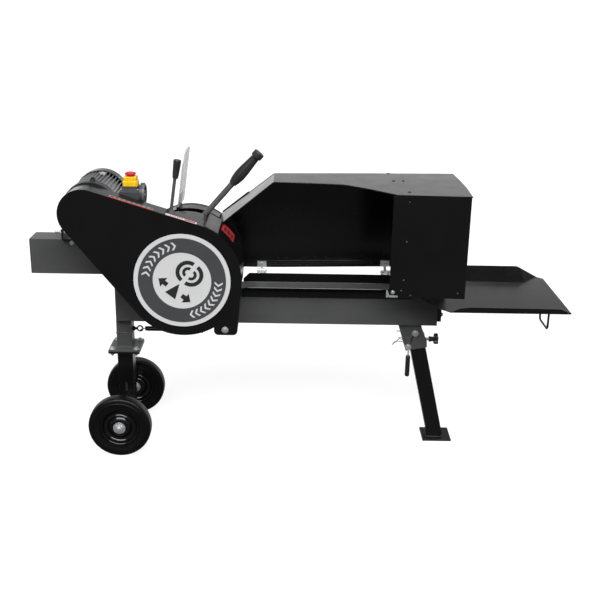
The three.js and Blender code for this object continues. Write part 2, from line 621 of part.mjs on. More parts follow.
part('power_inlet', cut(
  bar('x', INLET.at, INLET.r, INLET.x0, INLET.x1, { sides: 36 }),
  bar('x', INLET.at, INLET.bore, INLET.x0 + 4, INLET.x1 + 1, { sides: 36 }),
), BLACK_PLASTIC);

// ---- wheel leg, axle and wheels --------------------------------------------------------------
function postTube(z0, z1, wall = 3) {
  const inner = POST_HALF - wall;
  return cut(
    box(-POST_HALF, POST_HALF, -POST_HALF, POST_HALF, z0, z1),
    box(-inner, inner, -inner, inner, z0 - 1, z1 + 1),
  );
}
const flangePlate = (z0) => box(FLANGE.x0, FLANGE.x1, -FLANGE.half, FLANGE.half, z0, z0 + FLANGE.thick);
part('axle_mount', join(
  postTube(FLANGE.z + 3, BEAM.z0 - GAP), flangePlate(FLANGE.z + GAP),
), FRAME_GREY);
part('wheel_leg', cut(
  join(postTube(84, FLANGE.z - 3), flangePlate(FLANGE.z - FLANGE.thick)),
  bar('y', [0, WHEEL.r], WHEEL.axleR + GAP, -60, 60, { sides: 24 }),
), BLACK_COAT);
part('axle', bar('y', [0, WHEEL.r], WHEEL.axleR, -190, 190, { sides: 24 }), ZINC);

function wheel(name, side) {
  const group = new THREE.Group();
  group.position.set(0, side * WHEEL.y, WHEEL.r);
  object.add(group);
  const half = WHEEL.width / 2;
  const { r, rimR } = WHEEL;
  part(`${name}_tyre`, turnedY([
    [rimR + GAP, -18], [84, -half], [94, -18], [r, -6], [r, 6], [94, 18], [84, half],
    [rimR + GAP, 18], [rimR + GAP, -18],
  ], 0, 0, 0, 44), RUBBER, group);
  const bore = WHEEL.axleR + RUN;
  const outward = (along) => side * along;
  const faces = [
    [bore, 22], [19, 22], [19, 9], [50, 12], [rimR, 17], [rimR, -17], [50, 6], [19, 4],
    [19, -20], [bore, -20], [bore, 22],
  ].map(([radius, along]) => [radius, outward(along)]);
  part(`${name}_rim`, turnedY(faces, 0, 0, 0, 24), BLACK_COAT, group);
}
wheel('near', -1);
wheel('far', 1);

// ---- eye bolt, spring and its anchor ----------------------------------------------------------
const eyeRing = new THREE.Shape();
eyeRing.absarc(49, SPRING.z, 10, 0, 2 * Math.PI);
const eyeHole = new THREE.Path();
eyeHole.absarc(49, SPRING.z, 5.6, 0, 2 * Math.PI, true);
eyeRing.holes.push(eyeHole);
part('eye_bolt', join(
  run('y', eyeRing, -2.4, 2.4, 12),
  bar('x', [0, SPRING.z], 4, POST_HALF + GAP, 40.5, { sides: 16 }),
  bar('x', [0, SPRING.z], 8.5, POST_HALF + GAP, POST_HALF + 6, { sides: 6 }),
), BLACK_COAT);
part('return_spring', join(
  bar('x', [0, SPRING.z], SPRING.r, SPRING.x0, SPRING.x1, { sides: 16 }),
  bar('x', [0, SPRING.z], 1.6, 60, SPRING.x0 + 1, { sides: 8 }),
), BLACK_COAT);

// ---- support leg, bracket, pivot bolt, lock pin and clamp knob --------------------------------
const pivot = [LEG.x, 0, LEG.z];
function legBracket() {
  const side = (y) => run('y', [
    [889, BEAM.z0 - GAP], [960, BEAM.z0 - GAP], [969, 386], [985, 358], [987, 333], [918, 319],
  ], y, y + 5);
  const webFace = POST_HALF + RUN;
  const web = turn(
    box(LEG.x + webFace, LEG.x + webFace + 4, -31, 31, LEG.z - 54, LEG.z - 18), 'Y', -LEG.tilt, pivot,
  );
  const holes = (x, z, r) => bar('y', [x, z], r, -40, 40, { sides: 12 });
  const knobHole = bar('x', [0, 350], 5.6, LEG.x, LEG.x + 70, { sides: 12 });
  return cut(
    join(side(-31), side(26), web),
    holes(LEG.x, LEG.z, 6.4), holes(LOCK_PIN.x, LOCK_PIN.z, 5.5), knobHole,
  );
}
part('leg_bracket', legBracket(), FRAME_GREY);

function supportLeg() {
  const { x, z, above, length, tilt } = LEG;
  const [half, inner] = [POST_HALF, POST_HALF - 3];
  const tube = cut(
    box(x - half, x + half, -half, half, z - length + 8, z + above),
    box(x - inner, x + inner, -inner, inner, z - length, z + above + 1),
  );
  const ground = box(x - 300, x + 300, -half - 1, half + 1, -60, 3);
  return cut(
    join(
      cut(turn(tube, 'Y', -tilt, pivot), ground),
      box(FOOT.x0, FOOT.x1, -FOOT.half, FOOT.half, 0, FOOT.thick),
    ),
    bar('y', [x, z], 6.4, -40, 40, { sides: 24 }),
  );
}
part('support_leg', supportLeg(), BLACK_COAT);
part('pivot_bolt', join(
  bar('y', [LEG.x, LEG.z], 6, -32, 40, { sides: 24 }),
  bar('y', [LEG.x, LEG.z], 9.5, -38, -31 - GAP, { sides: 6 }),
  bar('y', [LEG.x, LEG.z], 9.5, 31 + GAP, 39, { sides: 6 }),
), ZINC);

const pinSleeve = bar('z', [LOCK_PIN.x, -44], 7.5, 236, 308, { r2: 8, sides: 20 });
part('lock_pin', join(
  rod([
    V3(LOCK_PIN.x, -26, LOCK_PIN.z), V3(LOCK_PIN.x, -44, LOCK_PIN.z), V3(LOCK_PIN.x, -44, 246),
  ], LOCK_PIN.r, 9),
  pinSleeve,
), ZINC);

function clampKnob() {
  const lobes = new THREE.Shape();
  const count = 5;
  for (let i = 0; i <= count * 8; i += 1) {
    const a = (i * 2 * Math.PI) / (count * 8);
    const r = 15.5 + 3 * Math.cos(count * a);
    lobes[i === 0 ? 'moveTo' : 'lineTo'](r * Math.cos(a), 350 + r * Math.sin(a));
  }
  return join(
    bar('x', [0, 350], 5, 984, 1000, { sides: 16 }),
    bar('x', [0, 350], 9, 994, 1014, { r2: 7, sides: 20 }),
    run('x', lobes, 1012, 1026),
  );
}
part('clamp_knob', clampKnob(), BLACK_PLASTIC);

// ---- hood: top sheet with its slope, back wall, near panel -------------------------------------
// The back wall bends away from the beam, so its plan is a line of points.
function wallY(x) {
  const i = WALL.findIndex(([end]) => end >= x);
  const [[xa, ya], [xb, yb]] = [WALL[Math.max(i - 1, 0)], WALL[Math.max(i, 1)]];
  return ya + ((x - xa) / (xb - xa)) * (yb - ya);
}
const UNDER = HOOD.top - HOOD.sheet;
const PANEL = { x0: 838, bend: 846, y0: -180, y1: -190, sheet: 2.5 };
const behind = (points) => points.map(([x, y]) => [x, y + WALL_SHEET]);

function hoodTop() {
  const edge = HOOD.right;
  const flat = run('z', [
    [SLOPE.x1, SLOPE.near], [563, -26], [624, -32], [692, -40], [716, -57], [773, -103],
    [PANEL.bend, -174], [PANEL.bend, PANEL.y0], [edge, PANEL.y1], [edge + 2, PANEL.y1], [edge + 5, -60],
    [edge + 2, 60], [edge - 3, wallY(edge - 3) + WALL_SHEET],
    ...behind(WALL.slice(1, 3)).reverse(), [SLOPE.x1, wallY(SLOPE.x1) + WALL_SHEET],
  ], UNDER, HOOD.top);
  const slope = run('y', [
    [SLOPE.x0, SLOPE.z0], [SLOPE.x1 + 1, HOOD.top], [SLOPE.x1 + 4, UNDER], [SLOPE.x0 + 2.3, SLOPE.z0 - 2],
  ], SLOPE.nearLow, wallY(SLOPE.x0) + WALL_SHEET);
  const plan = run('z', [
    [SLOPE.x0 - 1, 130], [SLOPE.x0 - 1, -18], [SLOPE.x0 + 12, -24], [SLOPE.x0 + 12, SLOPE.nearLow],
    [SLOPE.x1, SLOPE.near], [SLOPE.x1 + 5, SLOPE.near], [SLOPE.x1 + 5, 130],
  ], SLOPE.z0 - 9, HOOD.top + 1);
  return join(flat, slope.intersect(plan));
}
part('hood_top', hoodTop(), BLACK_COAT);

function backWall() {
  const underSlope = 4;
  const plan = [...WALL, ...behind(WALL).reverse()];
  const face = run('y', [
    [SLOPE.x0, SLOPE.z0 - underSlope], [SLOPE.x1 + 2.5, UNDER - 2], [SLOPE.x1 + 6, UNDER - GAP],
    [HOOD.right + 1, UNDER - GAP], [HOOD.right + 1, HOOD.bottom], [376, HOOD.bottom], [376, 650],
    [SLOPE.x0, 700],
  ], 0, HOOD.top);
  return run('z', plan, HOOD.bottom - 1, HOOD.top).intersect(face);
}
part('hood_back_wall', backWall(), BLACK_COAT);
part('hood_side_panel', run('z', [
  [PANEL.x0, PANEL.y0 + PANEL.sheet], [PANEL.x0, PANEL.y0], [PANEL.bend, PANEL.y0],
  [HOOD.right, PANEL.y1], [HOOD.right, PANEL.y1 + PANEL.sheet], [PANEL.bend, PANEL.y0 + PANEL.sheet],
], HOOD.bottom, UNDER - GAP), BLACK_COAT);

// ---- hood hinges: lower leaf on the far cradle, upper leaf on the wall, pin between ------------
const LEAF = { sheet: 3, low: 10, high: 30, rest: 11 };     // heights from the hinge line
function hingeLower([x0, x1]) {
  const { y, z, r } = HINGE;
  const third = (x1 - x0) / 3;
  const knuckle = (a, b) => join(
    bar('x', [y, z], r, a, b, { sides: 16 }),
    box(a, b, y - 1.5, y + 1.5, z - LEAF.rest, z - 1),
  );
  return join(
    knuckle(x0, x0 + third - RUN), knuckle(x1 - third + RUN, x1),
    box(x0, x1, y - 1.5, y + 1.5, z - LEAF.rest, z - r - RUN - 1),
    box(x0, x1, CRADLE.edgeY + 3, y + 1.5, z - LEAF.rest, z - LEAF.rest + LEAF.sheet),
  );
}
function hingeUpper([x0, x1]) {
  const { y, z, r } = HINGE;
  const third = (x1 - x0) / 3;
  const face = wallY(x0) - GAP;
  const [low, high] = [z + LEAF.low, z + LEAF.high];
  const neck = run('x', [
    [y - 1.5, z], [y + 1.5, z], [face, low], [face, low + 4], [face - LEAF.sheet, low + 4],
  ], x0 + third + RUN, x1 - third - RUN);
  return join(
    box(x0, x1, face - LEAF.sheet, face, low, high), neck,
    bar('x', [y, z], r, x0 + third + RUN, x1 - third - RUN, { sides: 16 }),
  );
}
['left', 'right'].forEach((name, i) => {
  part(`hinge_${name}_lower`, hingeLower(HINGE_SPANS[i]), ZINC);
  part(`hinge_${name}_upper`, hingeUpper(HINGE_SPANS[i]), ZINC);
});

// ---- origin at the middle of the base ----------------------------------------------------------
const bounds = new THREE.Box3().setFromObject(object);
const centre = bounds.getCenter(V3(0, 0, 0));
object.position.set(-centre.x, -centre.y, -bounds.min.z);

export default object;
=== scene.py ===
import json
import math

import bmesh
import bpy
from mathutils import Matrix, Vector


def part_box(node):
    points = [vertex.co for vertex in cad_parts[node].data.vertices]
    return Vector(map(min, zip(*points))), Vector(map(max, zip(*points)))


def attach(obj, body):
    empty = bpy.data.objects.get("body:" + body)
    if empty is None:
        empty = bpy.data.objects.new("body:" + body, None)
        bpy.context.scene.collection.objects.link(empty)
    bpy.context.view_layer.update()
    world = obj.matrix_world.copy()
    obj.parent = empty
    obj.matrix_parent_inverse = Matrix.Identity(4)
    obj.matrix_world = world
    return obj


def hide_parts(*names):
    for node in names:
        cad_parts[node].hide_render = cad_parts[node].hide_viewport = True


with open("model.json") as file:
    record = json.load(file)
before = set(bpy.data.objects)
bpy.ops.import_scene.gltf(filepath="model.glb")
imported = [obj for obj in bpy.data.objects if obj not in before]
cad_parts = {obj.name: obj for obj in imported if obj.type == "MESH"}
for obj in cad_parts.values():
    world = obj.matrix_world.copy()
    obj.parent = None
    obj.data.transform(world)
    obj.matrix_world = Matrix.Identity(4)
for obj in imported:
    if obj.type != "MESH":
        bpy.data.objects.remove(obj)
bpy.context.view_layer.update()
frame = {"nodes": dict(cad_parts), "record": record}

# ---- layout: millimetres from the wheel axle (x), the beam's middle (y) and the ground (z) ----
MM = 0.001


def middle(node):
    low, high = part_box(node)
    return (low + high) / 2


AXLE = middle("near_tyre")
ORIGIN = Vector((AXLE.x, middle("lower_beam").y, 0.0))
TO_ROW = Matrix.Translation(ORIGIN) @ Matrix.Scale(MM, 4)


def layout(node):
    """Lowest and highest corner of a CAD node in layout millimetres."""
    return [(corner - ORIGIN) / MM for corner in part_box(node)]


def centre_of(node):
    low, high = layout(node)
    return (low + high) / 2


def axis_of(node):
    """x and z of the middle of a round node that turns about a line along y."""
    centre = centre_of(node)
    return centre.x, centre.z


FLY = axis_of("far_flywheel")
MOTOR = axis_of("motor_fan_cover")
BEAM_LOW, BEAM_HIGH = layout("lower_beam")
HOUSING_LOW, HOUSING_HIGH = layout("rack_housing")
COVER_LOW, COVER_HIGH = layout("belt_cover")
BEAM_HALF = BEAM_HIGH.y

X, Y, Z = Vector((1, 0, 0)), Vector((0, 1, 0)), Vector((0, 0, 1))

# ---- materials ----


class Surface:
    """A Principled material whose colour, roughness and bump come from noise in object space."""

    def __init__(self, name, color, roughness, metallic=0.0, specular=0.5):
        self.material = bpy.data.materials.new(name)
        self.material.use_nodes = True
        self.tree = self.material.node_tree
        self.bsdf = self.tree.nodes["Principled BSDF"]
        self.color, self.roughness = color, roughness
        self.set("Metallic", metallic)
        self.set("Specular IOR Level", specular)
        self.set("Roughness", roughness)
        self.set("Base Color", (*color, 1))
        self.height = None
        self.coordinates = self.tree.nodes.new("ShaderNodeTexCoord").outputs["Object"]

    def set(self, socket, value):
        self.bsdf.inputs[socket].default_value = value
        return self

    def link(self, a, b):
        self.tree.links.new(a, b)

    def noise(self, scale, detail=3.0, rough=0.5, stretch=None):
        node = self.tree.nodes.new("ShaderNodeTexNoise")
        node.inputs["Scale"].default_value = scale
        node.inputs["Detail"].default_value = detail
        node.inputs["Roughness"].default_value = rough
        source = self.coordinates
        if stretch:
            mapping = self.tree.nodes.new("ShaderNodeMapping")
            mapping.inputs["Scale"].default_value = stretch
            self.link(source, mapping.inputs["Vector"])
            source = mapping.outputs["Vector"]
        self.link(source, node.inputs["Vector"])
        return node.outputs["Fac"]

    def spots(self, scale):
        node = self.tree.nodes.new("ShaderNodeTexVoronoi")
        node.inputs["Scale"].default_value = scale
        self.link(self.coordinates, node.inputs["Vector"])
        return node.outputs["Distance"]

    def ramp(self, value, low, high, out_low, out_high):
        node = self.tree.nodes.new("ShaderNodeMapRange")
        self.link(value, node.inputs["Value"])
        for socket, number in zip(
            ("From Min", "From Max", "To Min", "To Max"), (low, high, out_low, out_high)
        ):
            node.inputs[socket].default_value = number
        return node.outputs["Result"]

    def mottle(self, scale, amount):
        """Slow changes of the colour between the base and a lighter tone."""
        mix = self.tree.nodes.new("ShaderNodeMix")
        mix.data_type = "RGBA"
        lighter = tuple(min(1.0, c * (1 + amount) + 0.0006) for c in self.color)
        mix.inputs[6].default_value = (*self.color, 1)
        mix.inputs[7].default_value = (*lighter, 1)
        self.link(self.ramp(self.noise(scale, 5.0, 0.6), 0.35, 0.7, 0, 1), mix.inputs[0])
        self.link(mix.outputs[2], self.bsdf.inputs["Base Color"])
        return self

    def sheen_change(self, scale, below, above, stretch=None):
        """Roughness that varies from place to place, around the base value."""
        value = self.ramp(
            self.noise(scale, 4.0, 0.6, stretch), 0.3, 0.7, self.roughness - below, self.roughness + above)
        self.link(value, self.bsdf.inputs["Roughness"])
        return self

    def bump(self, value, strength, distance_mm):
        node = self.tree.nodes.new("ShaderNodeBump")
        node.inputs["Strength"].default_value = strength
        node.inputs["Distance"].default_value = distance_mm * MM
        self.link(value, node.inputs["Height"])
        if self.height:
            self.link(self.height, node.inputs["Normal"])
        self.height = node.outputs["Normal"]
        self.link(self.height, self.bsdf.inputs["Normal"])
        return self

    def grain(self, strength, distance_mm, scale, detail, rough=0.5, stretch=None):
        """A bump made of noise."""
        return self.bump(self.noise(scale, detail, rough, stretch), strength, distance_mm)


def powder_coat(name, color, roughness, specular):
    s = Surface(name, color, roughness, 0.0, specular).mottle(9, 0.2).sheen_change(14, 0.04, 0.05)
    return s.grain(0.2, 0.03, 420, 2.0).grain(0.15, 0.5, 5, 2.0).material


def plated(name, color, roughness, metallic=1.0):
    s = Surface(name, color, roughness, metallic).mottle(60, 0.3).sheen_change(90, 0.08, 0.14)
    return s.bump(s.spots(260), 0.15, 0.05).material


def machined(name, color, roughness, stretch=(1, 40, 1)):
    s = Surface(name, color, roughness, 1.0).mottle(30, 0.3).sheen_change(40, 0.08, 0.12, stretch)
    return s.grain(0.25, 0.05, 90, 3.0, 0.6, stretch).material


def casting(name, color, roughness, metallic):
    s = Surface(name, color, roughness, metallic).mottle(25, 0.4).sheen_change(30, 0.1, 0.1)
    return s.grain(0.6, 0.15, 260, 4.0, 0.65).material


def rubber(name, color, roughness):
    s = Surface(name, color, roughness, 0.0, 0.25).mottle(18, 0.3).sheen_change(40, 0.08, 0.08)
    return s.grain(0.4, 0.08, 520, 3.0, 0.6).material


def moulded(name, color, roughness, specular=0.45):
    s = Surface(name, color, roughness, 0.0, specular).mottle(20, 0.12).sheen_change(25, 0.06, 0.06)
    return s.bump(s.spots(700), 0.3, 0.05).material


def printed(name, color):
    s = Surface(name, color, 0.42, 0.0, 0.4).mottle(12, 0.05).sheen_change(18, 0.05, 0.08)
    return s.grain(0.1, 0.2, 40, 2.0).material


def clear_sheet(name):
    s = Surface(name, (0.42, 0.425, 0.43), 0.1).set("Alpha", 0.55)
    return s.mottle(14, 0.08).sheen_change(20, 0.02, 0.06).material


FINISHES = {
    "frame_grey": (powder_coat, (0.07, 0.0705, 0.072), 0.36, 0.45),
    "black_coat": (powder_coat, (0.0036, 0.0036, 0.0038), 0.19, 0.5),
    "zinc": (plated, (0.54, 0.545, 0.555), 0.3, 0.65),
    "bright_steel": (machined, (0.42, 0.43, 0.44), 0.3),
    "cast_iron": (casting, (0.07, 0.07, 0.075), 0.55, 0.6),
    "motor_grey": (casting, (0.017, 0.0175, 0.018), 0.36, 0.1),
    "fin_alloy": (casting, (0.34, 0.345, 0.35), 0.36, 0.7),
    "tyre_rubber": (rubber, (0.0026, 0.0026, 0.0026), 0.36),
    "rim_coat": (powder_coat, (0.0032, 0.0032, 0.0033), 0.1, 0.5),
    "belt_rubber": (rubber, (0.012, 0.012, 0.012), 0.7),
    "black_plastic": (moulded, (0.02, 0.02, 0.021), 0.34, 0.5),
    "grip_rubber": (moulded, (0.026, 0.026, 0.027), 0.32, 0.6),
    "lever_steel": (powder_coat, (0.085, 0.085, 0.087), 0.24, 0.8),
    "yellow_plastic": (moulded, (0.9, 0.56, 0.008), 0.36),
    "red_plastic": (moulded, (0.55, 0.014, 0.03), 0.3),
    "clear_sheet": (clear_sheet,),
    "label_light": (printed, (0.66, 0.66, 0.665)),
    "label_grey": (printed, (0.058, 0.059, 0.061)),
    # dark print on the labels, and also painted shade in screw slots, the leg's slot and the bell's recess
    "dark_print_and_shade": (printed, (0.02, 0.02, 0.021)),
    "label_red": (printed, (0.5, 0.03, 0.028)),
    "label_steel": (printed, (0.23, 0.24, 0.21)),
    "sleeve_black": (moulded, (0.012, 0.012, 0.012), 0.45),
    "sleeve_grey": (moulded, (0.05, 0.051, 0.053), 0.45),
    # light grey plastic, also used as a painted highlight along the switch box's top edge
    "light_grey_and_highlight": (moulded, (0.11, 0.111, 0.114), 0.4),
    "screw_black": (plated, (0.05, 0.05, 0.052), 0.35),
    "screw_dull": (plated, (0.13, 0.13, 0.133), 0.4, 0.6),
}
MATERIALS = {name: make(name, *values) for name, (make, *values) in FINISHES.items()}
# Pieces in these finishes take the record's nearest slot.
SLOTS = {
    "fin_alloy": "motor_grey", "rim_coat": "black_coat", "screw_dull": "zinc", "screw_black": "zinc",
    **dict.fromkeys([
        "label_light", "label_grey", "dark_print_and_shade", "label_red", "label_steel", "sleeve_black", "sleeve_grey",
        "light_grey_and_highlight",
    ], "black_plastic"),
}

# ---- pieces made in mesh code ----
def in_scene(name, data):
    obj = bpy.data.objects.new(name, data)
    bpy.context.scene.collection.objects.link(obj)
    return obj


def around(count, start=0.0):
    """Cosine and sine of evenly spaced angles, from a start angle in degrees."""
    angles = [2 * math.pi * k / count + math.radians(start) for k in range(count)]
    return [(math.cos(a), math.sin(a)) for a in angles]


def facing(at, axis):
    """A place whose z runs along the given axis from the given point."""
    return Matrix.Translation(at) @ Z.rotation_difference(Vector(axis)).to_matrix().to_4x4()


def upright(y, x=0.0, z=0.0):
    """A place whose x and y lie in the plane of layout x and z, its z towards the operator."""
    return Matrix.Translation((x, y, z)) @ Matrix.Rotation(math.pi / 2, 4, "X")


def rectangle(x0, x1, y0, y1):
    """The outline of a rectangle."""
    return [(x0, y0), (x1, y0), (x1, y1), (x0, y1)]


class Piece:
    """Closed meshes gathered into one object. Everything is given in layout millimetres."""

    def __init__(self, name, body, material):
        self.name, self.body, self.material = name, body, material
        self.slot = SLOTS.get(material, material)
        self.bm = bmesh.new()

    def add(self, points, faces, place=Matrix()):
        verts = [self.bm.verts.new(place @ Vector(p)) for p in points]
        for face in faces:
            self.bm.faces.new([verts[i] for i in face])
        return self

    def turned(self, profile, at=(0, 0, 0), axis=Z, segments=32):
        """A profile of (radius, along) points from axis to axis, turned about a line."""
        points, rings = [], []
        for radius, along in profile:
            if radius < 1e-6:
                rings.append([len(points)])
                points.append((0, 0, along))
                continue
            rings.append(list(range(len(points), len(points) + segments)))
            points += [(radius * c, radius * s, along) for c, s in around(segments)]
        faces = []
        for low, high in zip(rings, rings[1:]):
            for k in range(segments):
                n = (k + 1) % segments
                if len(low) == 1 and len(high) == 1:
                    continue
                if len(low) == 1:
                    faces.append((low[0], high[n], high[k]))
                elif len(high) == 1:
                    faces.append((low[k], low[n], high[0]))
                else:
                    faces.append((low[k], low[n], high[n], high[k]))
        return self.add(points, faces, facing(at, axis))

    def ring(self, profile, at=(0, 0, 0), axis=Z, segments=48):
        """A closed profile that doesn't meet the axis, turned about a line."""
        return self.turned(list(profile) + [profile[0]], at, axis, segments)

    def prism(self, outline, low, high, place=Matrix()):
        """An outline in x and y run along z."""
        count = len(outline)
        points = [(x, y, low) for x, y in outline] + [(x, y, high) for x, y in outline]
        faces = [tuple(reversed(range(count))), tuple(range(count, 2 * count))]
        faces += [(i, (i + 1) % count, (i + 1) % count + count, i + count) for i in range(count)]
        return self.add(points, faces, place)

    def block(self, low, high):
        (x0, y0, z0), (x1, y1, z1) = low, high
        return self.prism(rectangle(x0, x1, y0, y1), z0, z1)

    def tube(self, path, radius, sides=12, closed=False):
        """A round rod along a list of points; the radius may be a function of the step."""
        path = [Vector(p) for p in path]
        count = len(path)
        points, faces = [], []
        side = None
        for i, p in enumerate(path):
            before = path[i - 1] if i or closed else p
            after = path[(i + 1) % count] if i < count - 1 or closed else p
            along = (after - before).normalized()
            if side is None:
                side = along.orthogonal().normalized()
            side = (side - along * side.dot(along)).normalized()
            other = along.cross(side)
            r = radius(i) if callable(radius) else radius
            points += [p + side * (r * c) + other * (r * s) for c, s in around(sides)]
        last = count if closed else count - 1
        for i in range(last):
            a, b = i * sides, ((i + 1) % count) * sides
            faces += [(a + k, a + (k + 1) % sides, b + (k + 1) % sides, b + k) for k in range(sides)]
        if not closed:
            faces.append(tuple(reversed(range(sides))))
            faces.append(tuple(range((count - 1) * sides, count * sides)))
        return self.add(points, faces)

    def finish(self, replaces=(), bevel=0.0, smooth=35, segments=2):
        bmesh.ops.remove_doubles(self.bm, verts=self.bm.verts, dist=1e-4)
        bmesh.ops.recalc_face_normals(self.bm, faces=self.bm.faces)
        mesh = bpy.data.meshes.new(self.name)
        self.bm.transform(TO_ROW)
        self.bm.to_mesh(mesh)
        self.bm.free()
        mesh.materials.append(MATERIALS[self.material])
        obj = in_scene(self.name, mesh)
        soften(obj, bevel, smooth, segments)
        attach(obj, self.body)
        if replaces:
            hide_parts(*replaces)
        return obj


def soften(obj, bevel, smooth=35, segments=3):
    """Small rounded edges, flat faces shaded flat, and smooth shading but across sharp edges."""
    for face in obj.data.polygons:
        face.use_smooth = True
    if bevel:
        rounding = obj.modifiers.new("rounding", "BEVEL")
        rounding.width = bevel * MM
        rounding.segments = segments
        rounding.limit_method = "ANGLE"
        rounding.angle_limit = math.radians(smooth - 3)
        rounding.miter_outer = "MITER_ARC"
    split = obj.modifiers.new("sharp_edges", "EDGE_SPLIT")
    split.split_angle = math.radians(smooth)
    flat = obj.modifiers.new("flat_shading", "WEIGHTED_NORMAL")
    flat.keep_sharp = True
    flat.weight = 90


# ---- the CAD nodes that stay: finish, rounded edges ----
SLOT_OF = {row["node"]: row["material_slot"] for row in frame["record"]["subparts"]}
REPLACED = {
    "near_tyre", "far_tyre", "near_rim", "far_rim", "engage_grip", "safety_grip", "motor_body",
    "switch_lid", "stop_button", "return_spring", "lock_pin", "clamp_knob", "eye_bolt",
}
SHEET = {
    "belt_cover": 1.6, "hood_top": 0.9, "hood_back_wall": 0.8, "hood_side_panel": 0.8,
    "outfeed_table": 0.9, "cradle_near": 1.0, "cradle_far": 1.0, "lower_beam": 6.0,
    "rack_housing": 6.0, "support_leg": 2.6, "axle_mount": 2.6, "wheel_leg": 2.6,
    "near_flywheel_guard": 1.2, "far_flywheel_guard": 1.2, "switch_box": 2.5, "hand_shield": 0.6,
    "motor_front_bell": 2.0, "motor_fan_cover": 2.0, "leg_bracket": 1.0, "housing_end_cap": 1.2,
}
SMALL_EDGE = 0.5
OWN_FINISH = {"switch_box": "sleeve_grey", "power_inlet": "sleeve_grey", "pusher_plate": "black_coat"}
SHEET_CREASE, ROUND_CREASE = 26, 35


def dress_cad_node(name, obj):
    obj.material_slots[0].material = MATERIALS[OWN_FINISH.get(name, SLOT_OF[name])]
    weld = obj.modifiers.new("weld", "WELD")
    weld.merge_threshold = 0.02 * MM
    flat = obj.modifiers.new("flat_faces", "DECIMATE")
    flat.decimate_type = "DISSOLVE"
    flat.angle_limit = math.radians(0.5)
    soften(obj, SHEET.get(name, SMALL_EDGE), SHEET_CREASE if name in SHEET else ROUND_CREASE)


for node_name, node_object in frame["nodes"].items():
    if node_name not in REPLACED:
        dress_cad_node(node_name, node_object)

# ---- fasteners ----
def washer(piece, at, axis, radius, thick=1.6):
    profile = [(0, 0), (radius, 0), (radius, thick - 0.4), (radius - 0.4, thick), (0, thick)]
    return piece.turned(profile, at, axis, 32)


HEX_TURN = math.degrees(0.3)


def hex_head(piece, at, axis, radius, height):
    """A hexagon head or nut with a turned, chamfered top."""
    piece.prism([(radius * c, radius * s) for c, s in around(6, HEX_TURN)], 0, height, facing(at, axis))
    flat = radius * math.cos(math.pi / 6)
    top = [(0, height - 0.2), (flat - 0.3, height - 0.2), (flat - 1.0, height + 0.7), (0, height + 0.8)]
    return piece.turned(top, at, axis, 24)


def bolt(piece, at, axis, radius=6.5, height=4.5, rim=None):
    """A washer with a hexagon head on it."""
    washer(piece, at, axis, rim or radius * 1.45)
    return hex_head(piece, Vector(at) + Vector(axis) * 1.6, axis, radius, height)


def nut_on_stud(piece, at, axis, radius=6.5, height=5.0, stud=3.4, sticks_out=4.0):
    bolt(piece, at, axis, radius, height)
    top = Vector(at) + Vector(axis) * (1.6 + height)
    profile = [(0, 0), (stud, 0), (stud, sticks_out - 0.8), (stud - 0.8, sticks_out), (0, sticks_out)]
    return piece.turned(profile, top, axis, 16)


def cross_screw(heads, slot_shades, at, axis, radius):
    """A domed head, and the cross slot in it as two crossed dark bars of painted shade."""
    heads.turned([(0, -0.6), (radius, -0.6), (radius, 0.5), (radius * 0.75, 1.3), (0, 1.7)], at, axis, 20)
    place = facing(at, axis)
    long, thin = radius * 0.62, radius * 0.16
    for a, b in ((long, thin), (thin, long)):
        slot_shades.prism(rectangle(-a, a, -b, b), 1.0, 1.78, place)


def screw_set(name, body, places, radius):
    """Zinc cross-head screws, one for each point and direction, with their slots as dark bars of painted
    shade.
    """
    heads = Piece(f"{name}_screws", body, "zinc")
    slot_shades = Piece(f"{name}_screw_slot_shades", body, "dark_print_and_shade")
    for at, axis in places:
        cross_screw(heads, slot_shades, at, axis, radius)
    heads.finish()
    slot_shades.finish()


def thread(piece, start, count, pitch, root, crest, half=0.7):
    """Ridges round a stud that runs along x."""
    for k in range(count):
        piece.ring([(root, 0), (crest, half), (root, 2 * half)], Vector(start) + X * (pitch * k), X, 20)


def arc_band(inner, outer, start, end, steps=None):
    """Outline of a band between two radii and two angles, in degrees."""
    steps = steps or max(2, int(abs(end - start) / 3))
    angles = [math.radians(start + (end - start) * i / steps) for i in range(steps + 1)]
    rim = [(math.cos(a), math.sin(a)) for a in angles]
    return [(outer * c, outer * s) for c, s in rim] + [(inner * c, inner * s) for c, s in reversed(rim)]


def mirrored(half):
    """A profile of (radius, along) points and the same backwards on the other side."""
    return half + [(radius, -along) for radius, along in reversed(half)]


# ---- transport wheels: smooth tyre, dished rim, washer and nut on the axle ----
TYRE_LOW, TYRE_HIGH = layout("near_tyre")
WHEEL_R = (TYRE_HIGH - TYRE_LOW).z / 2


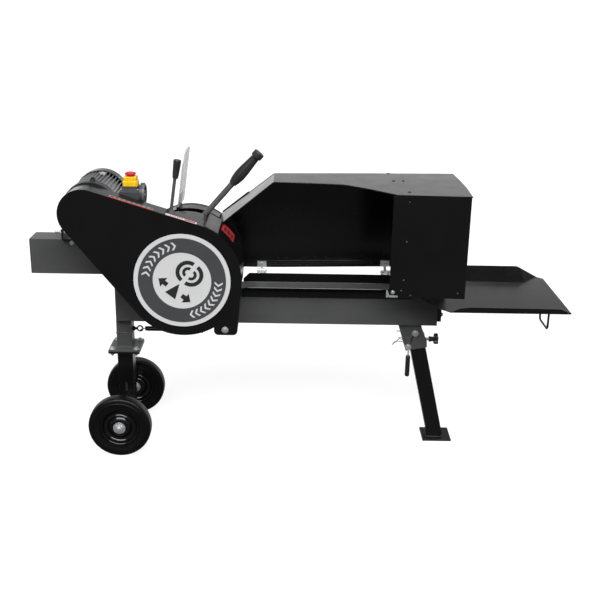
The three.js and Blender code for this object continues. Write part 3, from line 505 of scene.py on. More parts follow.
def make_wheel(side_name, side):
    centre = centre_of(f"{side_name}_tyre")
    out = Y * side
    r, half = WHEEL_R, (TYRE_HIGH - TYRE_LOW).y / 2
    half_profile = [
        (r - 37.7, 17), (r - 36.5, 19.2), (r - 33, 19.6), (r - 31.6, 18.8), (r - 27, 20.4), (r - 17, half),
        (r - 15.6, half - 0.2), (r - 14.8, half - 1.4), (r - 13.6, half - 1.2), (r - 8, half - 1.6),
        (r - 4, half - 3), (r - 1.6, half - 5.6), (r - 0.5, half - 9), (r, half - 15),
    ]
    tyre = Piece(f"{side_name}_tyre_rubber", f"{side_name}_wheel", "tyre_rubber")
    tyre.ring(mirrored(half_profile), centre, out, 96)
    tyre.finish(replaces=[f"{side_name}_tyre"], smooth=50)

    rim = Piece(f"{side_name}_wheel_rim", f"{side_name}_wheel", "rim_coat")
    dish = [
        (10.6, 17.5), (20.5, 17.5), (24, 17.2), (29, 15.6), (33.5, 12.2), (36, 8), (38.5, 5.2),
        (42, 3.6), (46, 3.2), (50, 4.8), (53.5, 8.6), (55.6, 13), (57, 16.2), (59, 17.6), (61, 17.8),
        (r - 38, 16.6),
    ]
    rim.ring(mirrored(dish), centre, out, 72)
    rim.finish(replaces=[f"{side_name}_rim"], smooth=50)

    ends = Piece(f"{side_name}_axle_nut", "frame", "zinc")
    face = centre + out * 20.3
    washer(ends, face, out, 19.5, 2.4)
    hex_head(ends, face + out * 2.4, out, 12.5, 6.6)
    ends.turned([(0, 0), (6.4, 0), (6.4, 2.4), (5.4, 3.4), (0, 3.4)], face + out * 9.4, out, 20)
    ends.finish(bevel=0.4)


make_wheel("near", -1)
make_wheel("far", 1)

# ---- motor: finned body on feet, bolts on the front bell, fan cover screws ----
MOTOR_LOW, MOTOR_HIGH = layout("motor_body")
BELL_LOW, BELL_HIGH = layout("motor_front_bell")
MOTOR_R = MOTOR_HIGH.z - MOTOR[1]
FOOT_Z = MOTOR_LOW.z
FINS = 46
FIN_TIP, FIN_ROOT = MOTOR_R - 0.2, MOTOR_R - 10.5


def make_motor():
    mx, mz = MOTOR
    low, high = MOTOR_LOW.y, MOTOR_HIGH.y
    long = high - low
    fins = Piece("motor_fins", "frame", "fin_alloy")
    fins.ring(rectangle(22, FIN_ROOT, 0, long), (mx, low, mz), Y, 92)
    backwards = Matrix.Translation((mx, low, mz)) @ Matrix.Rotation(-math.pi / 2, 4, "X")
    for k in range(FINS):
        place = backwards @ Matrix.Rotation(2 * math.pi * (k + 0.5) / FINS, 4, "Z")
        fin = [(FIN_ROOT - 1, -2.2), (FIN_TIP, -1.1), (FIN_TIP, 1.1), (FIN_ROOT - 1, 2.2)]
        fins.prism(fin, 1.0, long - 1.0, place)
    fins.finish(replaces=["motor_body"], bevel=0.45, smooth=30)

    feet = Piece("motor_feet", "frame", "motor_grey")
    for y0, y1 in ((low + 8, low + 38), (high - 38, high - 8)):
        feet.block((mx - 62, y0, FOOT_Z), (mx + 62, y1, FOOT_Z + 9))
        feet.block((mx - 46, y0 + 4, FOOT_Z + 8), (mx + 46, y1 - 4, mz - 66))
    feet.finish(bevel=1.4)

    bolts = Piece("motor_foot_bolts", "frame", "zinc")
    for y in (low + 23, high - 23):
        for x in (mx - 54, mx + 54):
            bolt(bolts, (x, y, FOOT_Z + 9), Z, 5.5, 4)
    lug_bolt = Piece("motor_lug_bolt", "frame", "screw_black")
    bolt(lug_bolt, (mx + 8.5, low - 6.5, BELL_HIGH.z), Z, 5.6, 4.2, 7.2)
    lug_bolt.finish(bevel=0.3)
    for c, s in around(4, 45):
        bolt(bolts, (mx + 72 * c, BELL_LOW.y, mz + 72 * s), -Y, 5.0, 3.6)
    bolts.finish(bevel=0.3)

    # A thin dark disc on the bell is painted shade standing in for a recess.
    dark = Piece("motor_bell_recess_shade", "frame", "dark_print_and_shade")
    a = math.radians(82)
    out = Vector((math.cos(a), 0, math.sin(a)))
    at = Vector((mx, low - 27, mz)) + out * (MOTOR_R + 1.2)
    dark.turned(rectangle(0, 5.2, -1, 0.5), at, out, 24)
    dark.finish()
    boss = Piece("motor_boss", "frame", "zinc")
    boss.prism(arc_band(MOTOR_R - 3, MOTOR_R + 2.4, 74, 86, 6), 0, 20, upright(low + 130, mx, mz))
    boss.finish(bevel=0.8, smooth=30)

    cover_low, cover_high = layout("motor_fan_cover")
    centre = Vector((mx, cover_low.y + 7, mz))
    ways = [Vector((c, 0, s)) for c, s in around(4, 45)]
    screw_set("fan_cover", "frame", [(centre + way * (cover_high.z - mz + 0.1), way) for way in ways], 3.2)


make_motor()

# ---- belt cover: round sticker, rim labels, fixings ----
FACE_Y = COVER_LOW.y
STICKER = {"edge": 145.7, "light": 132.5, "centre": 88.0, "at": (FLY[0] - 1, FLY[1] - 3)}


def on_cover(turn_degrees=0.0):
    """x to the right and y up on the cover's near face, z towards the viewer."""
    return upright(FACE_Y, *STICKER["at"]) @ Matrix.Rotation(math.radians(turn_degrees), 4, "Z")


def make_sticker():
    edge, light, centre = STICKER["edge"], STICKER["light"], STICKER["centre"]
    x, z = STICKER["at"]
    at = (x, FACE_Y, z)
    pale = Piece("sticker_pale", "frame", "label_light")
    pale.turned(rectangle(0, edge, -0.4, 0.3), at, -Y, 128)
    # rows of chevrons that say which way the flywheels turn
    for first, last, count in ((101, 168, 8), (-76, -6, 9)):
        for i in range(count):
            place = on_cover(first + (last - first) * i / (count - 1))
            pale.prism([(98, 3), (110, -6), (122, 3), (122, 9.5), (110, 0.5), (98, 9.5)], 0.3, 0.75, place)
    pale.finish()

    grey = Piece("sticker_ring", "frame", "label_grey")
    grey.ring(rectangle(centre, light, 0.2, 0.55), at, -Y, 128)
    grey.finish()

    # a log's end split in two halves above a wedge, with an arrow on either side
    mark = Piece("sticker_mark", "frame", "dark_print_and_shade")
    place = on_cover(-38)
    log = place @ Matrix.Translation((4, 32, 0))
    for side in (-1, 1):
        half_log = log @ Matrix.Translation((side * 6, 0, 0))
        start, end = (92, 268) if side < 0 else (-88, 88)
        for inner, outer in ((25, 37), (8, 17)):
            mark.prism(arc_band(inner, outer, start, end), 0.2, 0.6, half_log)
    mark.prism([(-19, -60), (19, -60), (0, -12)], 0.2, 0.6, place)
    arrow = [(60, -38), (40, -20), (40, -31), (27, -31), (27, -45), (40, -45), (40, -56)]
    mark.prism(arrow, 0.2, 0.6, place)
    mark.prism([(-x, y) for x, y in reversed(arrow)], 0.2, 0.6, place)
    mark.finish()


make_sticker()

# The cover's straight top runs between its two round ends.
TIP_Z = 797
TIP_R = COVER_HIGH.z - TIP_Z
BIG_R = STICKER["edge"] + 32.3
TIP = Vector((COVER_LOW.x + TIP_R, 0, COVER_HIGH.z - TIP_R))


def make_rim_labels():
    spread = math.acos((BIG_R - TIP_R) / math.hypot(TIP.x - FLY[0], TIP.z - FLY[1]))
    normal = math.atan2(TIP.z - FLY[1], TIP.x - FLY[0]) - spread
    out = Vector((math.cos(normal), 0, math.sin(normal)))
    along = Vector((math.sin(normal), 0, -math.cos(normal)))
    start = TIP + out * TIP_R

    def strip(name, material, x0, x1, y0, y1, thick=0.5):
        """A label on the rim from x0 to x1 and y0 to y1."""
        place = Matrix((
            (along.x, 0, out.x, start.x), (0, 1, 0, 0), (along.z, 0, out.z, start.z), (0, 0, 0, 1),
        ))
        s0, s1 = ((x - start.x) / along.x for x in (x0, x1))
        piece = Piece(name, "frame", material)
        piece.prism(rectangle(s0, s1, y0, y1), -0.2, thick, place)
        return piece, place, s0

    near = FACE_Y
    strip("warning_strip_red", "label_red", 2, 130, near + 1.5, near + 9)[0].finish()
    strip("warning_strip_light", "label_steel", 2, 130, near + 9, near + 25)[0].finish()
    marks, place, s0 = strip("warning_strip_marks", "dark_print_and_shade", 6, 30, near + 11, near + 13, 0.8)
    count = 9
    for i in range(count):
        a = s0 + (128 / along.x) * i / count
        marks.prism(rectangle(a, a + 8, near + 15, near + 22), 0.1, 0.8, place)
    marks.finish()
    strip("start_strip_light", "label_light", 166, 258, near + 2, near + 20)[0].finish()
    marks, place, s0 = strip("start_strip_marks", "label_red", 222, 254, near + 5, near + 17, 0.8)
    for i in range(6):
        a = s0 - 44 + i * 7
        marks.prism(rectangle(a, a + 3.4, near + 6, near + 16), 0.1, 0.8, place)
    marks.finish()


make_rim_labels()


def on_guard(piece, r, start, end, y0, y1, thick):
    """A curved plate on the round guard between two angles and two depths."""
    return piece.prism(arc_band(r, r + thick, start, end, 10), 0, y1 - y0, upright(y1, *FLY))


def make_guard_label():
    r = (layout("near_flywheel_guard")[1].z - FLY[1]) - 0.1
    red = on_guard(Piece("guard_label", "frame", "label_red"), r, 33.5, 50.5, -112, -34, 0.9)
    red.finish(smooth=30)
    mark = Piece("guard_label_mark", "frame", "dark_print_and_shade")
    top = r + 0.7
    for start, end, y0, y1 in (
        (36, 48, -66, -62), (36, 48, -104, -100), (36, 38, -100, -66), (46, 48, -100, -66),
        (39, 45, -92, -86), (39, 45, -80, -74), (41, 43, -98, -68),
    ):
        on_guard(mark, top, start, end, y0, y1, 0.4)
    mark.finish(smooth=30)


make_guard_label()

COVER_LUG = (340, 443)


def make_cover_fixings():
    x, z = COVER_LUG
    zinc = Piece("cover_bolts", "frame", "zinc")
    bolt(zinc, (x, FACE_Y, z), -Y, 7.2, 4.6, 10.5)
    zinc.finish(bevel=0.3)
    stand = Piece("cover_standoff", "frame", "black_coat")
    stand.turned(rectangle(0, 9, 0, 72), (x, -43, z), -Y, 24)
    stand.turned(rectangle(0, 14, 0, 4), (x, -42.6, z), -Y, 24)
    stand.finish(bevel=0.5)


make_cover_fixings()

# ---- motor base: belt tension stud beside the housing ----
def make_tension_stud():
    wall = -176
    bracket = Piece("tension_bracket", "frame", "black_coat")
    bracket.block((wall, -56, 681.6), (-150, 30, 685.6))
    bracket.block((wall, -56, 684), (wall + 5, 30, 716))
    bracket.finish(bevel=0.8)
    stud = Piece("tension_stud", "frame", "zinc")
    y, z = -38, 703.5
    stud.turned(rectangle(0, 4, 0, 66), (wall - 24, y, z), X, 20)
    thread(stud, (wall - 23, y, z), 11, 2.1, 3.8, 4.5, 0.8)
    hex_head(stud, (wall, y, z), -X, 8, 6)
    washer(stud, (wall - 0.2, y, z), -X, 9.5, 1.4)
    hex_head(stud, (wall + 5.2, y, z), X, 8, 6)
    bolt(stud, (-147, -42.4, 670), -Y, 5.2, 3.6)
    stud.finish(bevel=0.3)


make_tension_stud()

# ---- levers: grips, gate plates, pivot nuts, return wire ----
ENGAGE = (216, 703)
SAFETY = (153, 708)
LEVER_Y = -20
# How far a grip reaches from its lever's pivot.
ENGAGE_REACH, SAFETY_REACH = 337.4, 225.2


def grip_line(node, pivot, distance):
    """A point on the line from a lever's pivot to the middle of its grip, and the line's direction."""
    x, z = axis_of(node)
    lean = math.atan2(x - pivot[0], z - pivot[1])
    along = Vector((math.sin(lean), 0, math.cos(lean)))
    return Vector((pivot[0], LEVER_Y, pivot[1])) + along * distance, along


def flutes(piece, profile, at, along, count, radius, sides):
    """Rounded ribs along a grip, spaced evenly round it."""
    side = along.cross(Y)
    for c, s in around(count):
        piece.tube([at + along * up + (side * c + Y * s) * r for r, up in profile], radius, sides)


def make_grips():
    at, along = grip_line("engage_grip", ENGAGE, ENGAGE_REACH - 126)
    shape = [
        (9.4, 0), (12.4, 0), (13.2, 2.5), (12.6, 5), (13.4, 9), (16.4, 30), (16.6, 44), (15.6, 60),
        (13.4, 84), (12.2, 98), (12.4, 104), (13.2, 107.5), (16.6, 109.5), (17.4, 111), (17.4, 124.5),
        (16.6, 127.5), (14, 129), (0, 129.6),
    ]
    grip = Piece("engage_handle", "engage_lever", "grip_rubber")
    grip.turned([(0, 0)] + shape, at, along, 48)
    flutes(grip, [(r - 0.35, up) for r, up in shape[4:11]], at, along, 13, 1.7, 8)
    grip.finish(replaces=["engage_grip"], smooth=50)

    at, along = grip_line("safety_grip", SAFETY, SAFETY_REACH - 56)
    shape = [
        (5.5, 0), (8.4, 0), (8.9, 1), (10, 20), (11.8, 47), (12.2, 52), (12.2, 56), (11.4, 58), (9, 59),
        (0, 59.4),
    ]
    knob = Piece("safety_handle", "safety_lever", "grip_rubber")
    knob.turned([(0, 0)] + shape, at, along, 40)
    for r, up in ((12.1, 50), (9, 4)):
        knob.ring([(r - 0.4, 0), (r + 0.5, 0.6), (r + 0.5, 1.4), (r - 0.4, 2)], at + along * up, along, 40)
    flutes(knob, [(9.0, 10), (9.6, 20), (11.2, 44)], at, along, 12, 0.9, 6)
    knob.finish(replaces=["safety_grip"], smooth=50)


make_grips()


def make_lever_hardware():
    plates = Piece("lever_gate_plates", "frame", "lever_steel")
    for y in (-40.5, 8.5):
        outline = [(186, 0), (246, 0), (240, 22), (226, 34), (206, 34), (190, 20)]
        plates.prism(outline, 0, 2.4, upright(y + 2.4, 0, 694))
    plates.finish(bevel=0.6)
    zinc = Piece("lever_pivot_nuts", "frame", "zinc")
    for x, z in (ENGAGE, SAFETY):
        bolt(zinc, (x, -43.4, z), -Y, 8, 5, 10.5)
        bolt(zinc, (x, 11.6, z), Y, 8, 5, 10.5)
    zinc.finish(bevel=0.3)
    wire = Piece("safety_return_wire", "frame", "zinc")
    wire.tube([(140, -44, 716), (138, -52, 732), (142, -60, 744), (150, -64, 752), (158, -64, 756)], 1.3, 8)
    coils = enumerate(around(12) * 6)
    wire.tube([(140 + 4.4 * c, -44 - 0.32 * i, 712 + 4.4 * s) for i, (c, s) in coils], 1.1, 6)
    wire.finish()


make_lever_hardware()

# ---- switch: stepped ribbed lid, mushroom button, inlet ring ----
SWITCH_BOX_TOP = 857.5


def make_switch_cap():
    low, high = layout("switch_lid")
    step = low.z + 15.5
    lid = Piece("switch_cap", "switch_lid", "yellow_plastic")
    lid.block((low.x, low.y, low.z), (high.x, high.y, step))
    inset = 2.2
    lid.block((low.x + inset, low.y + inset, step - 1), (high.x - inset, high.y - inset, high.z))
    lid.finish(replaces=["switch_lid"], bevel=2.2, segments=3)
    ribs = Piece("switch_cap_ribs", "switch_lid", "yellow_plastic")
    count = 5
    for i in range(count):
        x = low.x + 6 + (high.x - low.x - 12) * i / (count - 1)
        ribs.block((x - 2.4, low.y - 2.2, low.z + 1.5), (x + 2.4, low.y + 2, step - 2))
        if 0 < i < count - 1:
            ribs.block((x - 2.4, low.y + inset - 2.2, step - 1), (x + 2.4, low.y + inset + 2, high.z - 2))
    for i in range(4):
        y = low.y + 6 + (high.y - low.y - 12) * i / 3
        for x0, x1 in ((low.x - 1.1, low.x + 2), (high.x - 2, high.x + 1.1)):
            ribs.block((x0, y - 1.6, low.z + 1.5), (x1, y + 1.6, step - 2.5))
    ribs.finish(bevel=0.7)
    skirt = Piece("switch_cap_skirt", "switch_lid", "yellow_plastic")
    skirt.block((low.x + 0.4, low.y - 1.4, low.z - 0.1), (high.x + 1.4, high.y + 1.4, low.z + 2.2))
    skirt.finish(bevel=0.8)


def make_stop_button():
    low, high = layout("stop_button")
    centre = centre_of("stop_button")
    rim = (high.x - low.x) / 2
    top = high.z
    button = Piece("stop_mushroom", "stop_button", "red_plastic")
    button.turned([
        (0, top - 16), (10.5, top - 16), (10.5, top - 7.5), (rim - 1.5, top - 7.2), (rim, top - 6),
        (rim, top - 4), (rim - 0.8, top - 2.6), (rim - 3.6, top - 0.9), (rim - 8, top + 0.1), (0, top + 0.5),
    ], (centre.x, centre.y, 0), Z, 48)
    button.finish(replaces=["stop_button"], smooth=40)


def make_switch_box():
    low, high = layout("switch_box")
    out = 0.9
    # A light strip round the box just under its top edge is a painted highlight, where the rounded edge
    # catches the light.
    highlight_strip = Piece("switch_box_edge_highlight", "frame", "light_grey_and_highlight")
    highlight_strip.block((low.x - out, low.y - out, SWITCH_BOX_TOP - 7.5),
               (high.x + out, high.y + out, SWITCH_BOX_TOP - 4.6))
    highlight_strip.finish(bevel=0.6)
    screw_set("switch_box", "frame", [
        ((x, y, SWITCH_BOX_TOP), Z)
        for x in (low.x + 4, high.x - 4) for y in (low.y + 5, high.y - 3.5)
    ], 2.2)


def make_power_inlet():
    low, high = layout("power_inlet")
    centre = centre_of("power_inlet")
    at = Vector((high.x, centre.y, centre.z))
    r = (high.z - low.z) / 2
    ring = Piece("inlet_ring", "frame", "light_grey_and_highlight")
    ring.ring([(r - 2.6, -6), (r + 0.9, -6), (r + 0.9, 1.2), (r - 0.6, 2.2), (r - 2.6, 1.4)], at, X, 64)
    for c, s in around(8):
        rib = at + Vector((0, c, s)) * (r + 0.8)
        ring.tube([rib - X * 5.6, rib + X * 0.8], 1.3, 8)
    ring.block((low.x + 2, at.y - 5, high.z - 1), (high.x + 1, at.y + 5, high.z + 4.5))
    ring.finish(bevel=0.4)
    core = Piece("inlet_socket", "frame", "sleeve_black")
    core.turned([(0, -9.2), (r - 9, -9.2), (r - 9, -3.4), (r - 10.5, -2.4), (0, -2.4)], at, X, 48)
    core.finish(bevel=0.3)
    pins = Piece("inlet_pins", "frame", "zinc")
    for dy, dz in ((-7, -3), (7, -3), (0, 8)):
        pins.turned([(0, -3), (2.4, -3), (2.4, 0.2), (1.2, 1.4), (0, 1.5)], at + Vector((0, dy, dz)), X, 16)
    pins.finish()


def make_bracket_rivets():
    low, high = layout("switch_bracket")
    rivets = Piece("switch_bracket_rivets", "frame", "zinc")
    for x in (low.x + 12, high.x - 12):
        rivets.turned([(0, 0), (4, 0), (3.6, 1.2), (2, 2.2), (0, 2.4)], (x, low.y - 0.05, 782), -Y, 20)
    rivets.finish()


make_switch_cap()
make_stop_button()
make_switch_box()
make_power_inlet()
make_bracket_rivets()

# ---- wheel leg: flange bolts, welds, slotted tab with its slot drawn as painted shade ----
def weld(piece, path, radius=1.9, step=2.6):
    """A rippled bead along a line of points."""
    points, radii = [], []
    for a, b in zip(path, path[1:]):
        a, b = Vector(a), Vector(b)
        count = max(2, int((b - a).length / step) * 2)
        for i in range(count):
            points.append(a.lerp(b, i / count))
            radii.append(radius * (1.0 if i % 2 else 0.84))
    points.append(Vector(path[-1]))
    radii.append(radius)
    return piece.tube(points, lambda i: radii[i], 8)


def square_ring(x0, x1, y0, y1, z):
    return [(x0, y0, z), (x1, y0, z), (x1, y1, z), (x0, y1, z), (x0, y0, z)]


def make_wheel_leg():
    high = layout("wheel_leg")[1]
    mount_low = layout("axle_mount")[0]
    bolts = Piece("flange_bolts", "frame", "zinc")
    for x in (-38, 40):
        for y in (-42, 42):
            bolt(bolts, (x, y, mount_low.z + 6), Z, 6.6, 4.6, 10)
            nut_on_stud(bolts, (x, y, high.z - 6), -Z, 6.6, 5.2, 3.6, 4)
    bolts.finish(bevel=0.3)
    grey = Piece("axle_mount_welds", "frame", "frame_grey")
    for z in (mount_low.z + 6.4, BEAM_LOW.z - 0.6):
        weld(grey, square_ring(-25, 25, -25, 25, z))
    grey.finish(smooth=60)
    black = Piece("wheel_leg_welds", "frame", "black_coat")
    weld(black, square_ring(-25, 25, -25, 25, high.z - 6.8))
    black.ring(rectangle(10.4, 16, -31.5, 31.5), (0, 0, WHEEL_R), Y, 40)
    for y in (-31.5, 31.5):
        black.ring([(15.6, -1.4), (17.6, 0), (15.6, 1.4)], (0, y * 0.82, WHEEL_R), Y, 40)
    black.finish(smooth=45)
    inner = Piece("axle_inner_nuts", "frame", "zinc")
    hub = layout("far_tyre")[0].y + 2.4
    for side in (-1, 1):
        washer(inner, (0, side * hub, WHEEL_R), -Y * side, 18, 2.4)
        hex_head(inner, (0, side * (hub - 2.4), WHEEL_R), -Y * side, 14, 7)
    inner.finish(bevel=0.4)
    # A thin dark plate on the leg's tab is painted shade standing in for its slot.
    slot = Piece("wheel_leg_slot_shade", "frame", "dark_print_and_shade")
    outline = [(3.4 * c, (12.5 if s > 0 else -12.5) + 3.4 * s) for c, s in around(24)]
    slot.prism(outline, 0, 0.5, upright(-24.9, 0, 174))
    slot.finish()


make_wheel_leg()

# ---- return spring in its sleeve, eye bolt ----
def make_spring():
    low, high = layout("return_spring")
    _, y, z = centre_of("return_spring")
    sleeve = Piece("spring_sleeve", "frame", "black_coat")
    long = high.x - low.x - 30
    sleeve.turned([(0, 0), (6.6, 0), (8, 1.2), (8, long - 1.5), (7.4, long), (0, long)], (72, y, z), X, 32)
    sleeve.finish(replaces=["return_spring"], smooth=40)
    coil = Piece("spring_coil", "frame", "black_coat")
    near_hook = [(58, 0, -6.8), (53, 1, -8.4), (47.5, 1, -7), (49, 0, -5.2), (56, 0, -1), (64, 0, 0)]
    coil.tube([(x, y + out, z + up) for x, out, up in near_hook], 1.3, 8)
    steps, pitch = 16, 3.1
    turns = around(steps) * 4 + around(steps)[:1]
    for x0 in (65, high.x - 19):
        points = [(x0 + pitch * i / steps, y + 6.4 * c, z + 6.4 * s) for i, (c, s) in enumerate(turns)]
        coil.tube(points, 1.45, 8)
    hook = [(-8, 0), (-2, 0), (6, 0), (8, -2), (6.4, -4)]
    coil.tube([(high.x + along, y, z + up) for along, up in hook], 1.4, 8)
    coil.finish(smooth=60)
    eye = Piece("spring_eye", "frame", "black_coat")
    eye.tube([(48 + 8.8 * c, 0, z + 8.8 * s) for c, s in around(36)], 2.5, 12, closed=True)
    eye.turned(rectangle(0, 4, 0, 14.6), (26, 0, z), X, 20)
    thread(eye, (33.5, 0, z), 6, 1.2, 3.8, 4.5)
    washer(eye, (25.2, 0, z), X, 10.5, 1.4)
    hex_head(eye, (26.4, 0, z), X, 8.2, 5.6)
    eye.finish(replaces=["eye_bolt"], bevel=0.2, smooth=45)


make_spring()

# ---- support leg: bracket bolts, lock pin, clip, star knob, foot ----
LEG_X, LEG_Z = 946, 380
PIN_X, PIN_Z = 925, 333
KNOB_Z = 350
KNOB_IN, KNOB_OUT = 1012, 1026


def make_leg_hardware():
    bolt_piece = Piece("leg_pivot_head", "frame", "zinc")
    bolt(bolt_piece, (LEG_X, -31.2, LEG_Z), -Y, 8.6, 5.2, 11)
    nut_on_stud(bolt_piece, (LEG_X, 31.2, LEG_Z), Y, 8.6, 5.8, 5, 4)
    bolt_piece.finish(bevel=0.35)

    seams = Piece("leg_bracket_welds", "frame", "frame_grey")
    for y in (-31, 31):
        weld(seams, [(891, y, BEAM_LOW.z - 0.6), (958, y, BEAM_LOW.z - 0.6)], 1.7)
    seams.finish(smooth=60)

    pin = Piece("lock_pin_shank", "lock_pin", "zinc")
    for y, segments, profile in (
        (-26.2, 24, rectangle(0, 5, 0, 14)),
        (-32, 40, [(0, 0), (10.2, 0), (10.8, 0.6), (10.8, 2.6), (10.2, 3.2), (0, 3.2)]),
        (-35, 32, [(0, 0), (6.8, 0), (6.8, 6), (5.6, 8.6), (0, 9.4)]),
    ):
        pin.turned(profile, (PIN_X, y, PIN_Z), -Y, segments)
    pin.tube([
        (PIN_X, -40, PIN_Z - 1), (PIN_X + 0.4, -43, PIN_Z - 6), (PIN_X, -44, PIN_Z - 14), (PIN_X, -44, 296),
    ], 2.6, 12)
    pin.finish(replaces=["lock_pin"], smooth=45)
    sleeve = Piece("lock_pin_sleeve", "lock_pin", "sleeve_black")
    sleeve.turned([(0, 236), (5.6, 236), (7.6, 238.5), (7.6, 303), (6.8, 306.5), (4.6, 309), (0, 309)],
                  (PIN_X, -44, 0), Z, 32)
    sleeve.finish(smooth=40)

    clip = Piece("leg_spring_clip", "frame", "zinc")
    y = 40
    clip.turned(rectangle(0, 5, 0, 16), (PIN_X, 31.2, PIN_Z - 3), Y, 20)
    straight = [(930, 328), (918, 325), (906, 323), (899, 326), (893, 321), (886, 317), (880, 312)]
    waved = [(930, 333), (920, 335), (912, 329), (904, 333), (896, 325), (888, 321)]
    clip.tube([(x, y, z) for x, z in straight], 1.4, 8)
    clip.tube([(x, y + 3, z) for x, z in waved] + [(884, y + 2, 316), (880, y, 312)], 1.4, 8)
    clip.finish(smooth=60)

    knob = Piece("clamp_star", "clamp_knob", "black_plastic")
    lobes, outline = 5, []
    for i in range(lobes * 16):
        a = 2 * math.pi * i / (lobes * 16)
        r = 15.8 + 3.2 * math.cos(lobes * a)
        outline.append((r * math.cos(a), r * math.sin(a)))
    sideways = Matrix(((0, 0, 1, 0), (1, 0, 0, 0), (0, 1, 0, KNOB_Z), (0, 0, 0, 1)))
    knob.prism(outline, KNOB_IN, KNOB_OUT, sideways)
    knob.finish(replaces=["clamp_knob"], bevel=3.0, smooth=50, segments=4)
    hub = Piece("clamp_hub", "clamp_knob", "black_plastic")
    neck = [(0, 996), (9.5, 996), (9, 1000), (7.6, 1008), (8.4, KNOB_IN + 1), (0, KNOB_IN + 1)]
    hub.turned(neck, (0, 0, KNOB_Z), X, 32)
    cap = [(0, KNOB_OUT - 1), (6, KNOB_OUT - 1), (5.4, KNOB_OUT + 0.6), (0, KNOB_OUT + 1.2)]
    hub.turned(cap, (0, 0, KNOB_Z), X, 32)
    hub.finish(smooth=45)
    stud = Piece("clamp_stud", "clamp_knob", "zinc")
    stud.turned(rectangle(0, 4.9, 979, 997), (0, 0, KNOB_Z), X, 20)
    thread(stud, (982, 0, KNOB_Z), 8, 1.7, 4.7, 5.3)
    stud.finish(smooth=45)

    base = Piece("foot_welds", "support_leg", "black_coat")
    weld(base, square_ring(1005.8, 1057, -25.5, 25.5, 6.8), 2.0)
    base.finish(smooth=60)


make_leg_hardware()

# ---- hood: screws, folded edges, latch plate, hinges ----
HOOD_TOP = layout("hood_top")[1].z
PANEL_LOW, PANEL_HIGH = layout("hood_side_panel")
WALL_POINTS = [(312, 114), (483, 114), (770, 136), (1067, 153)]
PANEL_X = (846, 1067)
CREASE_Z = 576
HINGE_AXIS = (106, 545)


def wall_y(x):
    """The back wall's near face."""
    for (xa, ya), (xb, yb) in zip(WALL_POINTS, WALL_POINTS[1:]):
        if x <= xb:
            return ya + (x - xa) / (xb - xa) * (yb - ya)
    return WALL_POINTS[-1][1]


def panel_y(x):
    """The side panel's near face."""
    share = (x - PANEL_X[0]) / (PANEL_X[1] - PANEL_X[0])
    return PANEL_HIGH.y - 2.5 - share * (PANEL_HIGH.y - 2.5 - PANEL_LOW.y)


def make_hood():
    screws = Piece("hood_screws", "hood", "screw_black")
    bright = Piece("hood_panel_screws", "hood", "screw_dull")
    # The dark bars in the screw heads are painted shade where each cross slot is recessed.
    slot_shades = Piece("hood_screw_slot_shades", "hood", "dark_print_and_shade")
    for x, y in ((851, 142), (856, 22), (887, 24), (888, -138)):
        cross_screw(screws, slot_shades, (x, y, HOOD_TOP), Z, 4.6)
    for x, z in ((885, 849), (883, 728), (880, 608), (874, 575), (1045, 571), (903, 560.5)):
        cross_screw(bright, slot_shades, (x, panel_y(x), z), -Y, 2.7)
    bright.finish()
    for x, z in (
        (522, 751), (493, 751), (615, 756), (665, 757), (495, 586), (525, 586), (619, 588), (656, 588),
        (777, 590), (569, 561), (808, 564), (854, 602),
    ):
        cross_screw(screws, slot_shades, (x, wall_y(x), z), -Y, 2.7)
        cross_screw(screws, slot_shades, (x, wall_y(x) + 2.5, z), Y, 2.7)
    screws.finish()
    slot_shades.finish()

    ribs = Piece("hood_wall_folds", "hood", "black_coat")
    ribs.tube([(x, wall_y(x) - 0.4, CREASE_Z) for x in (461, 483, 770, 838)], 1.1, 8)
    ribs.block((521, wall_y(522) - 1.2, 751), (523.4, wall_y(522) + 0.4, 862))
    ribs.finish(smooth=40)

    hem = Piece("hood_folded_edges", "hood", "black_coat")
    near_edge = [(563, -26), (624, -32), (692, -40), (716, -57), (773, -103), (846, -174)]
    hem.tube([(x, y, HOOD_TOP - 1.6) for x, y in [(481, -20)] + near_edge], 1.7, 10)
    hem.tube([(325, -59, 747), (478, -22, HOOD_TOP - 3.4)], 1.3, 10)
    hem.tube([(312.8, 115.6, 738), (480, 115.6, HOOD_TOP - 1.8)], 1.5, 10)
    hem.finish(smooth=60)

    bracket = Piece("hood_latch_plate", "hood", "zinc")
    y = panel_y(PANEL_X[0])
    outline = [(829, 553), (864, 553), (864, 559), (839, 560), (832, 577), (829, 577)]
    bracket.prism(outline, 0, 2.0, upright(y))
    bolt(bracket, (849, y - 0.2, 569), -Y, 4.2, 3.4, 6.0)
    bracket.finish(bevel=0.4)
    # the wall's lower left corner and the narrow flange along the slope's far edge
    corner = Piece("hood_wall_corner", "hood", "black_coat")
    corner.prism([(362, 662), (362, 600), (379, 600), (379, 650)], 0, 1.8, upright(116.2))
    corner.prism([(312.5, 738), (398, 805.5), (398, 809.5), (312.5, 742)], 0, 2.2, upright(118.4))
    corner.finish(bevel=0.4)

    for name in ("left", "right"):
        low, high = layout(f"hinge_{name}_upper")
        screw_set(f"hinge_{name}", "hood", [(((low.x + high.x) / 2, high.y - 3.0, high.z - 9), -Y)], 4.4)
        pin = Piece(f"hinge_{name}_pin", "frame", "zinc")
        low, high = layout(f"hinge_{name}_lower")
        for x, way in ((low.x, -X), (high.x, X)):
            pin.turned([(0, -0.5), (4.2, -0.5), (4.2, 0.9), (3, 1.8), (0, 2)], (x, *HINGE_AXIS), way, 20)
        mid = (low.x + high.x) / 2
        for x in (mid - 9, mid + 9):
            pin.turned([(0, 0), (3.4, 0), (3, 1.2), (0, 1.6)], (x, 94, 537), Z, 16)
        pin.finish(smooth=45)


make_hood()

